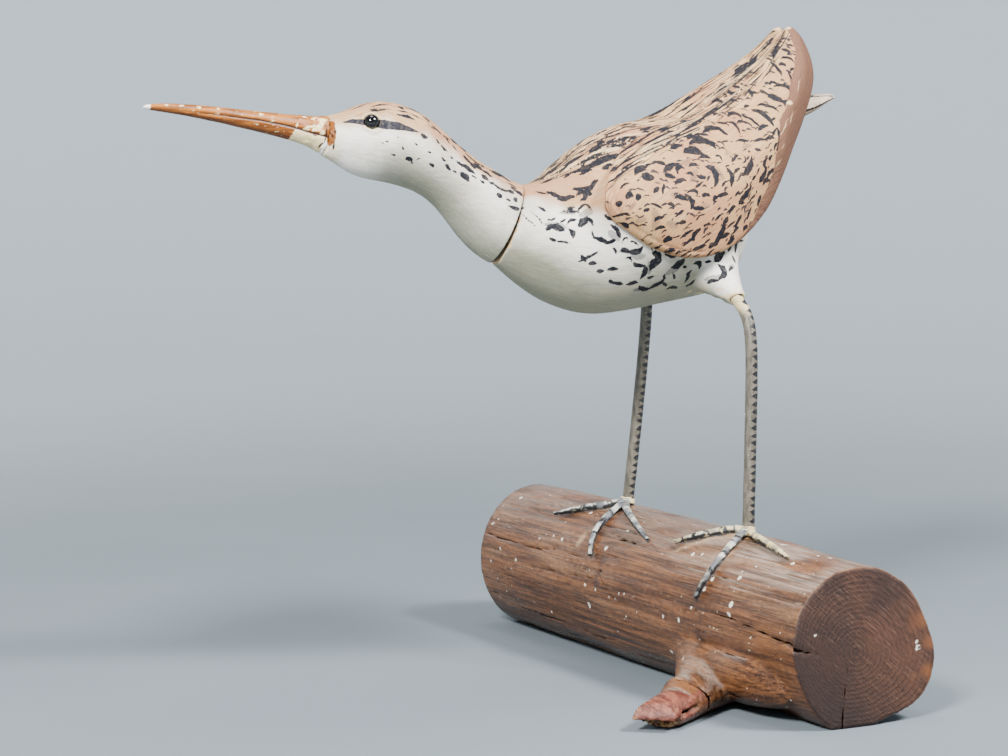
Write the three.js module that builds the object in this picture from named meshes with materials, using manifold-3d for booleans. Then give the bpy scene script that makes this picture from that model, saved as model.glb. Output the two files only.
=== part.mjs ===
// A carved and painted shorebird decoy that stands crosswise on a short log.
// Millimetres, +Z up. The log lies along Y and the bird faces -X, so its left side is toward -Y.
// The origin is on the log's flat underside, below the middle of the log.

import * as THREE from 'three';
import { mergeVertices } from 'three/addons/utils/BufferGeometryUtils.js';
import Module from 'manifold-3d';

// The log
const logLength = 355;
const nearEndRadius = 43.5;
const farEndRadius = 44.4;
const middleSwell = 1;
const flatWidth = 28;
const nearCutSkew = -1.6;
const farCutSkew = 10.2;

// The branch stub that steadies the log
const stubDistance = 97;
const stubReach = 72;
const stubWidth = 27;
const stubHeight = 19;
const stubTurn = 35;

// Drying cracks in the log
const splitLength = 62;
const splitWidth = 3;
const splitDepth = 17;
const footCrackWidth = 2.2;
const footCrackDepth = 16;

// The bird
const birdLength = 427;
const legClearLength = 128.2;
const hipSpread = 96;
const neckJointYaw = 12;
const neckCrackWidth = 2;

// Legs and feet
const legRodDiameter = 6.8;
const footSpread = 130;
const footShift = -1;
const logSocketDepth = 14;
const thighSocketDepth = 14;
const toeThickness = 5;
const footCollarHeight = 4.5;

// Eyes
const eyeDiameter = 8.7;
const eyeStandOut = 2.2;

// Wings
const wingEdgeThickness = 8.5;
const wingThickness = 13;

// Clearances
const seam = 0.3;
const legFit = 0.3;

// How far a cutter passes the surface that it opens
const overshoot = 4;

// Facets
const logSides = 30;
const logRings = 11;
const stubSides = 16;
const stubRows = 10;
const birdSides = 20;
const bodyRings = 26;
const thighSides = 14;
const headRings = 20;
const billSides = 12;
const billRings = 13;
const eyeSides = 12;
const eyeRows = 8;
const wingRings = 24;
const wingOuterSteps = 10;
const rodSides = 10;
const rodSteps = 16;
const toeSides = 8;
const toeSteps = 7;

// The carving's stations below are written for a bird of this length.
const carvingLength = 427;
const carving = birdLength / carvingLength;

const wasm = await Module();
wasm.setup();

const radians = THREE.MathUtils.degToRad;
const mix = THREE.MathUtils.lerp;

// Solids

function signedVolume(points, faces) {
  let sum = 0;
  for (const [a, b, c] of faces) {
    sum += points[a].dot(new THREE.Vector3().crossVectors(points[b], points[c]));
  }
  return sum / 6;
}

// A skin over closed rings of equally many points, with its two ends closed to their middles.
// A ring given as one point closes the skin there.
function skin(rings) {
  const sides = Math.max(...rings.map((ring) => ring.length));
  const points = [];
  const faces = [];
  const rows = rings.map((ring) => {
    const first = points.length;
    points.push(...ring);
    return { first, single: ring.length === 1 };
  });
  for (const end of [0, rows.length - 1]) {
    if (!rows[end].single) {
      const middle = new THREE.Vector3();
      rings[end].forEach((point) => middle.add(point));
      points.push(middle.divideScalar(sides));
      const row = { first: points.length - 1, single: true };
      if (end === 0) {
        rows.unshift(row);
      } else {
        rows.push(row);
      }
    }
  }
  for (let r = 0; r + 1 < rows.length; r += 1) {
    const a = rows[r];
    const b = rows[r + 1];
    for (let i = 0; i < sides; i += 1) {
      const j = (i + 1) % sides;
      const [a0, a1] = a.single ? [a.first, a.first] : [a.first + i, a.first + j];
      const [b0, b1] = b.single ? [b.first, b.first] : [b.first + i, b.first + j];
      if (!a.single) {
        faces.push([a0, a1, b1]);
      }
      if (!b.single) {
        faces.push([a0, b1, b0]);
      }
    }
  }
  const outward = signedVolume(points, faces) > 0;
  const index = faces.flatMap(([a, b, c]) => (outward ? [a, b, c] : [a, c, b]));
  const geometry = new THREE.BufferGeometry();
  const flat = points.flatMap((point) => [point.x, point.y, point.z]);
  geometry.setAttribute('position', new THREE.Float32BufferAttribute(flat, 3));
  geometry.setIndex(index);
  return geometry;
}

function solid(geometry) {
  const bare = geometry.clone();
  bare.deleteAttribute('normal');
  bare.deleteAttribute('uv');
  const merged = mergeVertices(bare, 1e-4);
  const vertProperties = new Float32Array(merged.attributes.position.array);
  const triVerts = new Uint32Array(merged.index.array);
  return new wasm.Manifold(new wasm.Mesh({ numProp: 3, vertProperties, triVerts }));
}

function geometryOf(manifold) {
  const mesh = manifold.getMesh();
  const geometry = new THREE.BufferGeometry();
  geometry.setAttribute('position', new THREE.BufferAttribute(new Float32Array(mesh.vertProperties), 3));
  geometry.setIndex(new THREE.BufferAttribute(new Uint32Array(mesh.triVerts), 1));
  geometry.computeVertexNormals();
  return geometry;
}

function block(width, depth, height, x, y, z) {
  const geometry = new THREE.BoxGeometry(width, depth, height);
  geometry.translate(x, y, z);
  return solid(geometry);
}

function ball(radius, centre) {
  const geometry = new THREE.SphereGeometry(radius, eyeSides, eyeRows);
  geometry.translate(centre.x, centre.y, centre.z);
  return solid(geometry);
}

// Smooth values between rows of numbers, at a position counted in rows.
function between(rows, position) {
  const last = rows.length - 1;
  const i = Math.min(Math.floor(position), last - 1);
  const t = position - i;
  const row = (k) => rows[THREE.MathUtils.clamp(k, 0, last)];
  return rows[i].map((unused, column) => {
    const [p, q, r, s] = [i - 1, i, i + 1, i + 2].map((k) => row(k)[column]);
    const bend = 2 * p - 5 * q + 4 * r - s;
    const twist = 3 * (q - r) + s - p;
    return q + 0.5 * t * (r - p + t * (bend + t * twist));
  });
}

// Rods and toes: a round skin along a path, with its own width and height at each point.
function tube(path, sides, upAt, widthAt, heightAt, stepCount) {
  const rings = [];
  for (let k = 0; k <= stepCount; k += 1) {
    const t = k / stepCount;
    const centre = path.getPointAt(t);
    const ahead = path.getTangentAt(t);
    const across = new THREE.Vector3().crossVectors(ahead, upAt(centre)).normalize();
    const rise = new THREE.Vector3().crossVectors(across, ahead).normalize();
    const ring = [];
    for (let i = 0; i < sides; i += 1) {
      const angle = (i / sides) * Math.PI * 2;
      const point = centre.clone().addScaledVector(across, (Math.cos(angle) * widthAt(t)) / 2);
      ring.push(point.addScaledVector(rise, (Math.sin(angle) * heightAt(t)) / 2));
    }
    rings.push(ring);
  }
  return skin(rings);
}

// Log

// The near end's radius as shares, every 15 degrees from the top over the -X side and round.
const nearEndLobes = [
  1, 1.03, 1.045, 1.045, 1.04, 1.02, 1.01, 0.965, 0.96, 0.99, 1.03, 1.04,
  0.965, 0.95, 0.95, 1.06, 1.095, 1.08, 1.03, 0.935, 0.94, 0.95, 0.965, 0.98,
];
const farEndLobeShare = 0.25;

function logShareAt(y) {
  return THREE.MathUtils.clamp(y / logLength + 0.5, 0, 1);
}

function logRadiusAt(y) {
  const share = logShareAt(y);
  return mix(nearEndRadius, farEndRadius, share) + middleSwell * Math.sin(share * Math.PI);
}

function logCentreHeight(y) {
  return Math.sqrt(logRadiusAt(y) ** 2 - (flatWidth / 2) ** 2);
}

function lobeAt(angle) {
  const count = nearEndLobes.length;
  const place = ((angle / 360) * count + count) % count;
  const first = Math.floor(place) % count;
  return mix(nearEndLobes[first], nearEndLobes[(first + 1) % count], place - Math.floor(place));
}

// A point on the log's bark side, its angle in degrees from the top toward -X.
function logPoint(y, angle, lift) {
  const lobe = mix(lobeAt(angle), 1 + (lobeAt(angle) - 1) * farEndLobeShare, logShareAt(y));
  const radius = logRadiusAt(y) * lobe + lift;
  const turn = radians(angle);
  return new THREE.Vector3(-Math.sin(turn) * radius, y, logCentreHeight(y) + Math.cos(turn) * radius);
}

function logSolid(lift) {
  const rings = [];
  for (let k = 0; k <= logRings; k += 1) {
    const share = k / logRings;
    const ring = [];
    for (let i = 0; i < logSides; i += 1) {
      const level = mix(-logLength / 2, logLength / 2, share);
      const point = logPoint(level, (i / logSides) * 360, lift);
      const nearCut = -logLength / 2 + Math.tan(radians(nearCutSkew)) * point.x;
      const farCut = logLength / 2 + Math.tan(radians(farCutSkew)) * point.x;
      point.y = mix(nearCut, farCut, share);
      ring.push(point);
    }
    rings.push(ring);
  }
  return solid(skin(rings));
}

// Stub stations: share of the reach past the flank, width share, height share.
const stubStations = [
  [-0.7, 2.9, 2.9],
  [-0.33, 2.2, 2.3],
  [-0.06, 1.6, 1.75],
  [0.12, 1.2, 1.25],
  [0.27, 1.02, 1.04],
  [0.5, 1, 1],
  [0.75, 0.94, 0.96],
  [0.94, 0.8, 0.84],
];

// The height of the stub's middle line as a share of its own height, and the least that it falls to.
const stubLevel = 0.46;
const stubLeastLevel = 0.42;

// The broken end: shares of the reach where the splinters start and how deep they run, how many there
// are, how they are turned, and how high the hollow between them lies.
const splinterStart = 0.9;
const splinterDepth = 0.16;
const splinterCount = 3;
const splinterTurn = 1;
const splinterLean = 2;
const hollowLevel = 0.4;

// The swelling at the stub's root, in shares of the stub's width and height and of the log's radius.
const rootSwell = { thickness: 0.78, length: 1.9, offset: 0.75, depth: 0.62, level: 1.12 };

// The flank swells toward the near end where the branch grew.
function rootSwelling() {
  const geometry = new THREE.SphereGeometry(1, stubSides, stubRows);
  geometry.scale(stubWidth * rootSwell.thickness, stubWidth * rootSwell.length, stubHeight);
  geometry.translate(
    -logRadiusAt(-stubDistance) * rootSwell.depth,
    -stubDistance - stubWidth * rootSwell.offset,
    stubHeight * rootSwell.level,
  );
  return solid(geometry);
}

function stubSolid() {
  const ahead = new THREE.Vector3(-Math.cos(radians(stubTurn)), -Math.sin(radians(stubTurn)), 0);
  const side = new THREE.Vector3(-ahead.y, ahead.x, 0);
  const flank = new THREE.Vector3(-logRadiusAt(-stubDistance), -stubDistance, 0);
  const rings = stubStations.map(([along, width, height]) => {
    const middle = Math.max(stubLevel * height, stubLeastLevel) * stubHeight;
    const ring = [];
    for (let i = 0; i < stubSides; i += 1) {
      const angle = (i / stubSides) * Math.PI * 2;
      const splinter = Math.sin(angle * splinterCount + splinterTurn) * Math.sin(angle + splinterLean);
      const atTip = along > splinterStart ? splinterDepth * splinter : 0;
      const centre = flank.clone().addScaledVector(ahead, stubReach * (along + atTip));
      const point = centre.addScaledVector(side, (Math.cos(angle) * stubWidth * width) / 2);
      point.z = middle + (Math.sin(angle) * stubHeight * height) / 2;
      ring.push(point);
    }
    return ring;
  });
  const [tip] = stubStations[stubStations.length - 1];
  const hollow = flank.clone().addScaledVector(ahead, stubReach * (tip - splinterDepth));
  hollow.z = stubHeight * hollowLevel;
  return solid(skin([...rings, [hollow]]));
}

// A crack is a thin wedge: its mouth lies outside the wood and it closes to an edge inside. The edge
// and the far end keep these shares of its width.
const crackEdgeShare = 0.12;
const crackEndShare = 0.25;

function crack(mouth, edge, width) {
  const sideways = new THREE.Vector3().subVectors(mouth[1], mouth[0]);
  const inward = new THREE.Vector3().subVectors(edge[0], mouth[0]);
  const spread = new THREE.Vector3().crossVectors(sideways, inward).setLength(width / 2);
  const narrow = spread.clone().multiplyScalar(crackEdgeShare);
  const ringAt = (k, open) => [
    mouth[k].clone().addScaledVector(spread, open),
    mouth[k].clone().addScaledVector(spread, -open),
    edge[k].clone().sub(narrow),
    edge[k].clone().add(narrow),
  ];
  return solid(skin([ringAt(0, 1), ringAt(1, crackEndShare)]));
}

// The drying split's angles from the top toward -X, at the sawn end and where it dies out. The wedge is
// wider than the split by the flare, because its mouth lies outside the bark.
const splitMouthAngles = [86, 76];
const splitEdgeAngles = [88, 77];
const splitEndDepthShare = 0.41;
const splitFlare = 1.3;

function dryingSplit() {
  const start = -logLength / 2 - overshoot;
  const end = start + splitLength;
  const outside = [
    logPoint(start, splitMouthAngles[0], overshoot),
    logPoint(end, splitMouthAngles[1], overshoot),
  ];
  const inside = [
    logPoint(start, splitEdgeAngles[0], -splitDepth),
    logPoint(end, splitEdgeAngles[1], -splitDepth * splitEndDepthShare),
  ];
  return crack(outside, inside, splitWidth * splitFlare);
}

// The foot crack runs up from the flat at the sawn end: x at its mouth and at its inner edge, each at
// the sawn end and where it dies out.
const footCrackLength = 20;
const footCrackMouthX = [-17, -15];
const footCrackEdgeX = [-7, -9];
const footCrackEndDepthShare = 0.5;

function footCrack() {
  const start = -logLength / 2 - overshoot;
  const end = start + footCrackLength;
  const outside = [
    new THREE.Vector3(footCrackMouthX[0], start, -overshoot / 2),
    new THREE.Vector3(footCrackMouthX[1], end, -overshoot / 2),
  ];
  const inside = [
    new THREE.Vector3(footCrackEdgeX[0], start, footCrackDepth),
    new THREE.Vector3(footCrackEdgeX[1], end, footCrackDepth * footCrackEndDepthShare),
  ];
  return crack(outside, inside, footCrackWidth);
}

function buildLog() {
  const ground = block(logLength * 2, logLength * 2, logLength, 0, 0, -logLength / 2);
  let log = logSolid(0).add(stubSolid()).add(rootSwelling()).subtract(ground);
  log = log.subtract(dryingSplit()).subtract(footCrack());
  for (const leg of [leftLeg, rightLeg]) {
    log = log.subtract(legRod(leg, legFit));
  }
  return geometryOf(log);
}

// Legs

const ridgeHeight = logPoint(0, 0, 0).z;
const hipHeight = ridgeHeight + legClearLength;

// Leg paths from the ridge up: how far out from the hip to the foot, how far below the hip as a share
// of the clear length, and how far back.
const leftLeg = {
  side: -1,
  footX: 1.4,
  path: [[1, 0.6, 2.3], [0.99, 0.17, 2.3], [0.78, 0.07, 2.6], [0.22, 0.005, 2.6], [-0.2, -0.045, 2.2]],
};
const rightLeg = {
  side: 1,
  footX: 1,
  path: [[0.85, 0.8, 2.6], [0.47, 0.42, 4.4], [0.2, 0.2, 4.6], [0.08, 0.1, 4.4], [-0.04, 0, 4]],
};

// The rod's last point in the thigh, past its path's last row: a share further in, and how far forward.
const legEndIn = 0.3;
const legEndForward = 1;

function footYOf(leg) {
  return (leg.side * footSpread) / 2 + footShift;
}

function legPath(leg) {
  const hipY = (leg.side * hipSpread * carving) / 2;
  const footZ = logPoint(footYOf(leg), 0, 0).z;
  const place = ([out, drop, x]) => {
    return new THREE.Vector3(x, mix(hipY, footYOf(leg), out), hipHeight - drop * legClearLength);
  };
  const [lastOut, lastDrop, lastX] = leg.path[leg.path.length - 1];
  const end = place([lastOut - legEndIn, lastDrop, lastX - legEndForward]);
  end.z += thighSocketDepth / 2;
  return new THREE.CatmullRomCurve3([
    new THREE.Vector3(leg.footX, footYOf(leg), footZ - logSocketDepth),
    new THREE.Vector3(leg.footX, footYOf(leg), footZ),
    ...leg.path.map(place),
    end,
  ]);
}

function legRod(leg, growth) {
  const wide = () => legRodDiameter + growth * 2;
  return solid(tube(legPath(leg), rodSides, () => new THREE.Vector3(1, 0, 0), wide, wide, rodSteps));
}

// Feet

// Toe paths on the log: degrees from the top toward -X, and distance along the log from the leg.
const leftToes = [
  [[2, 2], [13, 6], [21, 11], [29, 17], [38, 28]],
  [[3, -2], [16, -13], [34, -21], [52, -22], [72, -18]],
  [[2, -3], [9, -18], [17, -46], [25, -70]],
];
const rightToes = [
  [[3, -1], [13, -7], [22, 4], [30, 16], [40, 34]],
  [[5, -5], [22, -17], [38, -20], [52, -24], [64, -31]],
  [[4, -6], [17, -23], [31, -52], [42, -78]],
];

// A toe's middle line above the bark, its width and height at the root and how much they lose at the
// tip, as shares of the toe's thickness.
const toeLift = 0.36;
const toeWidth = 1.12;
const toeHeight = 1.16;
const toeTaper = 0.5;

// The collar round the leg: its radii as shares of the rod's diameter, how deep it reaches into the log
// before the log is cut from it, and how far it sits forward of the rod.
const collarTopRadius = 0.62;
const collarFootRadius = 0.9;
const collarBuried = 4;
const collarForward = 0.6;

function toeSolid(path, footY) {
  const points = [];
  for (let k = 0; k <= toeSteps; k += 1) {
    const [angle, along] = between(path, (k / toeSteps) * (path.length - 1));
    points.push(logPoint(footY + along, angle, toeThickness * toeLift));
  }
  const up = (point) => new THREE.Vector3(point.x, 0, point.z - logCentreHeight(point.y)).normalize();
  const width = (t) => toeThickness * (toeWidth - toeTaper * t ** 3);
  const height = (t) => toeThickness * (toeHeight - toeTaper * t ** 2);
  return solid(tube(new THREE.CatmullRomCurve3(points), toeSides, up, width, height, toeSteps));
}

function buildFoot(leg, toes) {
  const footY = footYOf(leg);
  const footZ = logPoint(footY, 0, 0).z;
  const collar = new THREE.CylinderGeometry(
    legRodDiameter * collarTopRadius,
    legRodDiameter * collarFootRadius,
    footCollarHeight + collarBuried,
    rodSides,
  );
  collar.rotateX(Math.PI / 2);
  collar.translate(leg.footX - collarForward, footY, footZ + (footCollarHeight - collarBuried) / 2);
  let foot = solid(collar);
  for (const path of toes) {
    foot = foot.add(toeSolid(path, footY));
  }
  return geometryOf(foot.subtract(logSolid(seam)).subtract(legRod(leg, legFit)));
}

// Bird

function birdPoint(x, y, z) {
  return new THREE.Vector3(x * carving, y * carving, hipHeight + z * carving);
}

// The power that makes the bird's sections a little fuller than an ellipse
const fullness = 0.92;

// A rounded section between a top and a bottom point on the bird's centre plane. The widest level is
// a share of the way from the bottom to the top, and the yaw turns the section about the upright.
function section([topX, topZ, bottomX, bottomZ, halfWidth, widest, yaw = 0], growth, sides) {
  const height = Math.hypot(topX - bottomX, topZ - bottomZ);
  const ring = [];
  for (let i = 0; i < sides; i += 1) {
    const angle = (i / sides) * Math.PI * 2;
    const up = Math.cos(angle);
    const share = up > 0 ? mix(widest, 1, up) : mix(widest, 0, -up);
    const reach = share + (growth * up) / height;
    const out = Math.sign(Math.sin(angle)) * Math.abs(Math.sin(angle)) ** fullness * (halfWidth + growth);
    const x = mix(bottomX, topX, reach) + out * Math.tan(radians(yaw));
    ring.push(birdPoint(x, out, mix(bottomZ, topZ, reach)));
  }
  return ring;
}

function loft(stations, ringCount, growth, sides = birdSides) {
  const rings = [];
  for (let k = 0; k <= ringCount; k += 1) {
    rings.push(section(between(stations, (k / ringCount) * (stations.length - 1)), growth, sides));
  }
  return solid(skin(rings));
}

// Body stations from the neck to the tail's tip:
// top x, top z, bottom x, bottom z, half width, widest level, yaw.
const bodyStations = [
  [-106, 64, -124, 20, 20.5, 0.5, neckJointYaw],
  [-98, 65.5, -107, 7.5, 27.5, 0.47, neckJointYaw * 0.5],
  [-86, 73, -87, -4, 35, 0.45, 0],
  [-67, 88, -65, -10, 41.5, 0.44, 0],
  [-44, 98.2, -43, -8.5, 45.5, 0.44, 0],
  [-20, 101.5, -21, -5, 47, 0.44, 0],
  [0, 101.8, 4, -1, 45, 0.43, 0],
  [15, 102, 18, 5, 39.5, 0.42, 0],
  [27, 103, 26, 24, 32.5, 0.45, 0],
  [39, 106, 34, 50, 26, 0.5, 0],
  [52, 109, 49, 77, 20, 0.55, 0],
  [64, 112, 64, 95, 16.5, 0.5, 0],
  [77, 114, 79, 102, 13.5, 0.4, 0],
  [89, 115.2, 90, 107.5, 10.5, 0.4, 0],
  [98.5, 115.5, 100, 112, 6.5, 0.45, 0],
];

// Thigh stations: share of the way from inside the body to the leg's top, and the radius.
const thighStations = [
  [0, 24],
  [0.28, 18.5],
  [0.5, 14],
  [0.68, 10.3],
  [0.84, 7.4],
  [1, 5.4],
];

// The thigh's axis from inside the body to the leg's top: x, out from the middle, z. It ends a little
// past the hip, and its height is a share of its width.
const thighPast = 3;
const thighInside = [-6, 22, 24];
const thighOutside = [2.6, hipSpread / 2 + thighPast, 0];
const thighHeightShare = 0.92;

function thighSolid(side, growth) {
  const inside = birdPoint(thighInside[0], side * thighInside[1], thighInside[2]);
  const outside = birdPoint(thighOutside[0], side * thighOutside[1], thighOutside[2]);
  const ahead = new THREE.Vector3().subVectors(outside, inside).normalize();
  const across = new THREE.Vector3(1, 0, 0);
  const rise = new THREE.Vector3().crossVectors(ahead, across).normalize();
  const rings = thighStations.map(([along, radius]) => {
    const centre = new THREE.Vector3().lerpVectors(inside, outside, along);
    const wide = radius * carving + growth;
    const high = radius * carving * thighHeightShare + growth;
    const ring = [];
    for (let i = 0; i < thighSides; i += 1) {
      const angle = (i / thighSides) * Math.PI * 2;
      const point = centre.clone().addScaledVector(across, Math.cos(angle) * wide);
      ring.push(point.addScaledVector(rise, Math.sin(angle) * high));
    }
    return ring;
  });
  return solid(skin(rings));
}

function bodyForm(growth) {
  return loft(bodyStations, bodyRings, growth).add(thighSolid(-1, growth)).add(thighSolid(1, growth));
}

function buildBody() {
  let body = bodyForm(0);
  for (const leg of [leftLeg, rightLeg]) {
    body = body.subtract(legRod(leg, legFit));
  }
  return geometryOf(body);
}

// Head and neck stations from the neck joint to the face.
const headStations = [
  [-106, 64, -124, 20, 20.5, 0.5, neckJointYaw],
  [-113.5, 66.5, -132, 23.8, 20.3, 0.5, neckJointYaw * 0.6],
  [-122.8, 71.5, -141.3, 32.2, 19.6, 0.5, 0],
  [-132, 76, -150.4, 43.2, 18.6, 0.5, 0],
  [-141.2, 81.8, -159.5, 53.2, 17.4, 0.5, 0],
  [-150.3, 89.2, -168.6, 59, 17.2, 0.5, 0],
  [-160, 97, -177.5, 62.4, 18.4, 0.5, 0],
  [-172, 104.7, -185, 64.4, 19.8, 0.5, 0],
  [-186.2, 109, -193.5, 66, 20.4, 0.5, 0],
  [-198, 108.6, -203, 67.8, 19, 0.5, 0],
  [-208, 106, -212, 71.5, 15.6, 0.5, 0],
  [-216.5, 102.4, -219.5, 76.2, 11, 0.5, 0],
  [-223, 101.4, -226.5, 80, 7.8, 0.5, 0],
];

// The neck joint's line on the centre plane, from just above the neck to just below it: x and z. The
// cutter reaches this far to each side and back into the body.
const neckJointTop = [-104, 69];
const neckJointBottom = [-127, 12.7];
const neckCutReach = 40;
const neckCutBack = 20;

// The joint's open crack: a wedge that takes wood off the neck, most at the bottom.
function neckCrack() {
  const half = neckCutReach * carving;
  const top = birdPoint(neckJointTop[0], 0, neckJointTop[1]);
  const bottom = birdPoint(neckJointBottom[0], 0, neckJointBottom[1]);
  const ahead = new THREE.Vector3(bottom.z - top.z, 0, top.x - bottom.x).normalize();
  const ringAt = (y) => {
    const shift = y * Math.tan(radians(neckJointYaw));
    return [
      top.clone().addScaledVector(ahead, -neckCutBack),
      top.clone().addScaledVector(ahead, seam),
      bottom.clone().addScaledVector(ahead, neckCrackWidth),
      bottom.clone().addScaledVector(ahead, -neckCutBack),
    ].map((point) => new THREE.Vector3(point.x + shift, y, point.z));
  };
  return solid(skin([ringAt(-half), ringAt(half)]));
}

// Where the eye breaks the side of the head: x, out from the middle, z.
const eyePlace = [-203.5, 15.8, 97.4];

function eyeCentre(side) {
  const centre = birdPoint(eyePlace[0], 0, eyePlace[2]);
  return centre.setY(side * (eyePlace[1] * carving + eyeStandOut - eyeDiameter / 2));
}

function buildHead() {
  let head = loft(headStations, headRings, 0).subtract(neckCrack());
  for (const side of [-1, 1]) {
    head = head.subtract(ball(eyeDiameter / 2 + seam, eyeCentre(side)));
  }
  return geometryOf(head);
}

function buildEye(side) {
  return geometryOf(ball(eyeDiameter / 2, eyeCentre(side)));
}

// Bill stations from the face to the blunt tip.
const billStations = [
  [-223, 101.4, -226.5, 80, 7.8, 0.5],
  [-230, 101, -233, 84, 6.7, 0.5],
  [-240, 101.5, -242, 87, 5.7, 0.5],
  [-254, 102.6, -255, 90.5, 4.8, 0.5],
  [-270, 104, -271, 94, 4.1, 0.5],
  [-286, 105.5, -286.5, 97.4, 3.5, 0.5],
  [-302, 106.7, -302, 100.4, 2.9, 0.5],
  [-315, 107, -315, 102.3, 2.3, 0.5],
  [-322.5, 106.4, -322.5, 103.4, 1.6, 0.5],
  [-325.4, 105.4, -325.2, 104.4, 0.7, 0.5],
];

function buildBill() {
  const bill = loft(billStations, billRings, 0, billSides);
  const geometry = geometryOf(bill);
  geometry.translate(-seam, 0, 0);
  return geometry;
}

// Wings

// The wing's own plane: along is from the front lobe to the tip, across is toward the back.
const wingPivot = [0, 84];
const wingTilt = 38;

function wingPoint(along, across, out, side) {
  const turn = radians(wingTilt);
  const x = wingPivot[0] + along * Math.cos(turn) - across * Math.sin(turn);
  const z = wingPivot[1] + along * Math.sin(turn) + across * Math.cos(turn);
  return birdPoint(x, side * out, z);
}

// Wing stations: along, then across and out of the lower edge, the fullest point,
// the crest and the inner edge by the back.
const wingStations = [
  [-81.5, 13, 44, 17, 45, 20, 44.5, 23, 43.5],
  [-78.5, 3, 48, 13, 49.5, 21, 47.5, 27, 44],
  [-72, -13, 51, 6, 54, 23, 49.5, 31.5, 41],
  [-60, -29, 53, 0, 57.5, 25, 48.5, 35, 34.5],
  [-41, -41, 53, -6, 59, 26, 42.5, 35, 25.5],
  [-20, -43.5, 51, -10, 58, 23, 37.5, 29.5, 18.5],
  [0, -42.5, 47.5, -12, 55, 20, 30.5, 20, 13],
  [15, -38.5, 43.5, -12, 50.5, 18, 24.5, 12, 8],
  [30, -34.5, 38.5, -12, 45, 17, 20.5, 5, 3],
  [46, -29.3, 33, -9, 39, 15, 18, 2.5, 0.6],
  [60, -25.5, 28, -7, 33, 13.2, 15.5, 3, 0.4],
  [74, -20, 23, -5, 26, 12.4, 12.5, 6, 0.4],
  [85, -14, 18.5, 0, 19, 13.5, 9, 9.5, 0.6],
  [92.5, -5, 14, 5, 13, 14.5, 8, 13.5, 2],
  [96, 4.5, 9.5, 9, 9.3, 12.5, 7.6, 13.5, 5],
];

// A ring shorter than this from its lower edge to its crest is thinner in the same share.
const wingFullHeight = 30;

// Points of the wing's inside, in shares of its thickness or of the way between two outside points: how
// far below the inner edge, between crest and fullest point, behind the fullest point, between the
// fullest point and the lower edge, and the lower edge's own rounding. The lower edge's inner corner
// lies a little above its outer one.
const innerEdgeDrop = 0.85;
const upperInside = 0.55;
const fullInside = 1.15;
const lowerInside = 0.6;
const edgeRounding = 0.22;
const leastInnerOut = 0.4;
const innerCornerRise = 1;

// How much closer the rings lie at the wing's two ends, from 0 for even to 1.
const wingRingEasing = 0.35;

function wingRing(row, side) {
  const [along, lowAcross, lowOut, fullAcross, fullOut, crestAcross, crestOut, innerAcross, innerOut] = row;
  const outerKeys = [
    [lowAcross, lowOut],
    [fullAcross, fullOut],
    [crestAcross, crestOut],
    [innerAcross, innerOut],
  ];
  const ring = [];
  for (let k = 0; k <= wingOuterSteps; k += 1) {
    const [across, out] = between(outerKeys, (k / wingOuterSteps) * (outerKeys.length - 1));
    ring.push([across, out]);
  }
  const shortness = Math.min(1, (crestAcross - lowAcross) / wingFullHeight);
  const edge = wingEdgeThickness * shortness;
  const depth = wingThickness * shortness;
  const upperOut = mix(crestOut, fullOut, upperInside) - depth;
  ring.push([innerAcross - depth * innerEdgeDrop, Math.max(innerOut - depth, leastInnerOut * shortness)]);
  ring.push([mix(crestAcross, fullAcross, upperInside), Math.max(upperOut, leastInnerOut)]);
  ring.push([fullAcross, fullOut - depth * fullInside]);
  ring.push([mix(fullAcross, lowAcross, lowerInside), mix(fullOut, lowOut, lowerInside) - depth]);
  ring.push([lowAcross + innerCornerRise, lowOut - edge]);
  ring.push([lowAcross - edge * edgeRounding, lowOut - edge / 2]);
  return ring.map(([across, out]) => wingPoint(along, across, out, side));
}

function buildWing(side) {
  const rings = [];
  for (let k = 0; k <= wingRings; k += 1) {
    const eased = 0.5 - 0.5 * Math.cos((k / wingRings) * Math.PI);
    const share = mix(k / wingRings, eased, wingRingEasing);
    rings.push(wingRing(between(wingStations, share * (wingStations.length - 1)), side));
  }
  return geometryOf(solid(skin(rings)).subtract(bodyForm(seam)));
}

// Finishes

function finish(colour, roughness) {
  return new THREE.MeshStandardMaterial({ color: colour, roughness, metalness: 0 });
}

const bark = finish('#6b4532', 0.6);
const whitePaint = finish('#c9c8c2', 0.6);
const buffPaint = finish('#b2937a', 0.65);
const billPaint = finish('#8f5a44', 0.5);
const legPaint = finish('#8d8578', 0.6);
const toePaint = finish('#8f969a', 0.6);
const eyeGlass = finish('#0c0d10', 0.1);

const decoy = new THREE.Group();

function place(name, geometry, material) {
  const mesh = new THREE.Mesh(geometry, material);
  mesh.name = name;
  decoy.add(mesh);
}

place('log', buildLog(), bark);
place('body', buildBody(), whitePaint);
place('head_and_neck', buildHead(), whitePaint);
place('bill', buildBill(), billPaint);
place('left_eye', buildEye(-1), eyeGlass);
place('right_eye', buildEye(1), eyeGlass);
place('left_wing', buildWing(-1), buffPaint);
place('right_wing', buildWing(1), buffPaint);
place('left_leg', geometryOf(legRod(leftLeg, 0)), legPaint);
place('right_leg', geometryOf(legRod(rightLeg, 0)), legPaint);
place('left_foot', buildFoot(leftLeg, leftToes), toePaint);
place('right_foot', buildFoot(rightLeg, rightToes), toePaint);

export default decoy;
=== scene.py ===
import math
import random
from functools import partial

import bpy
import numpy as np
from mathutils import Matrix, Vector, noise


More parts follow.
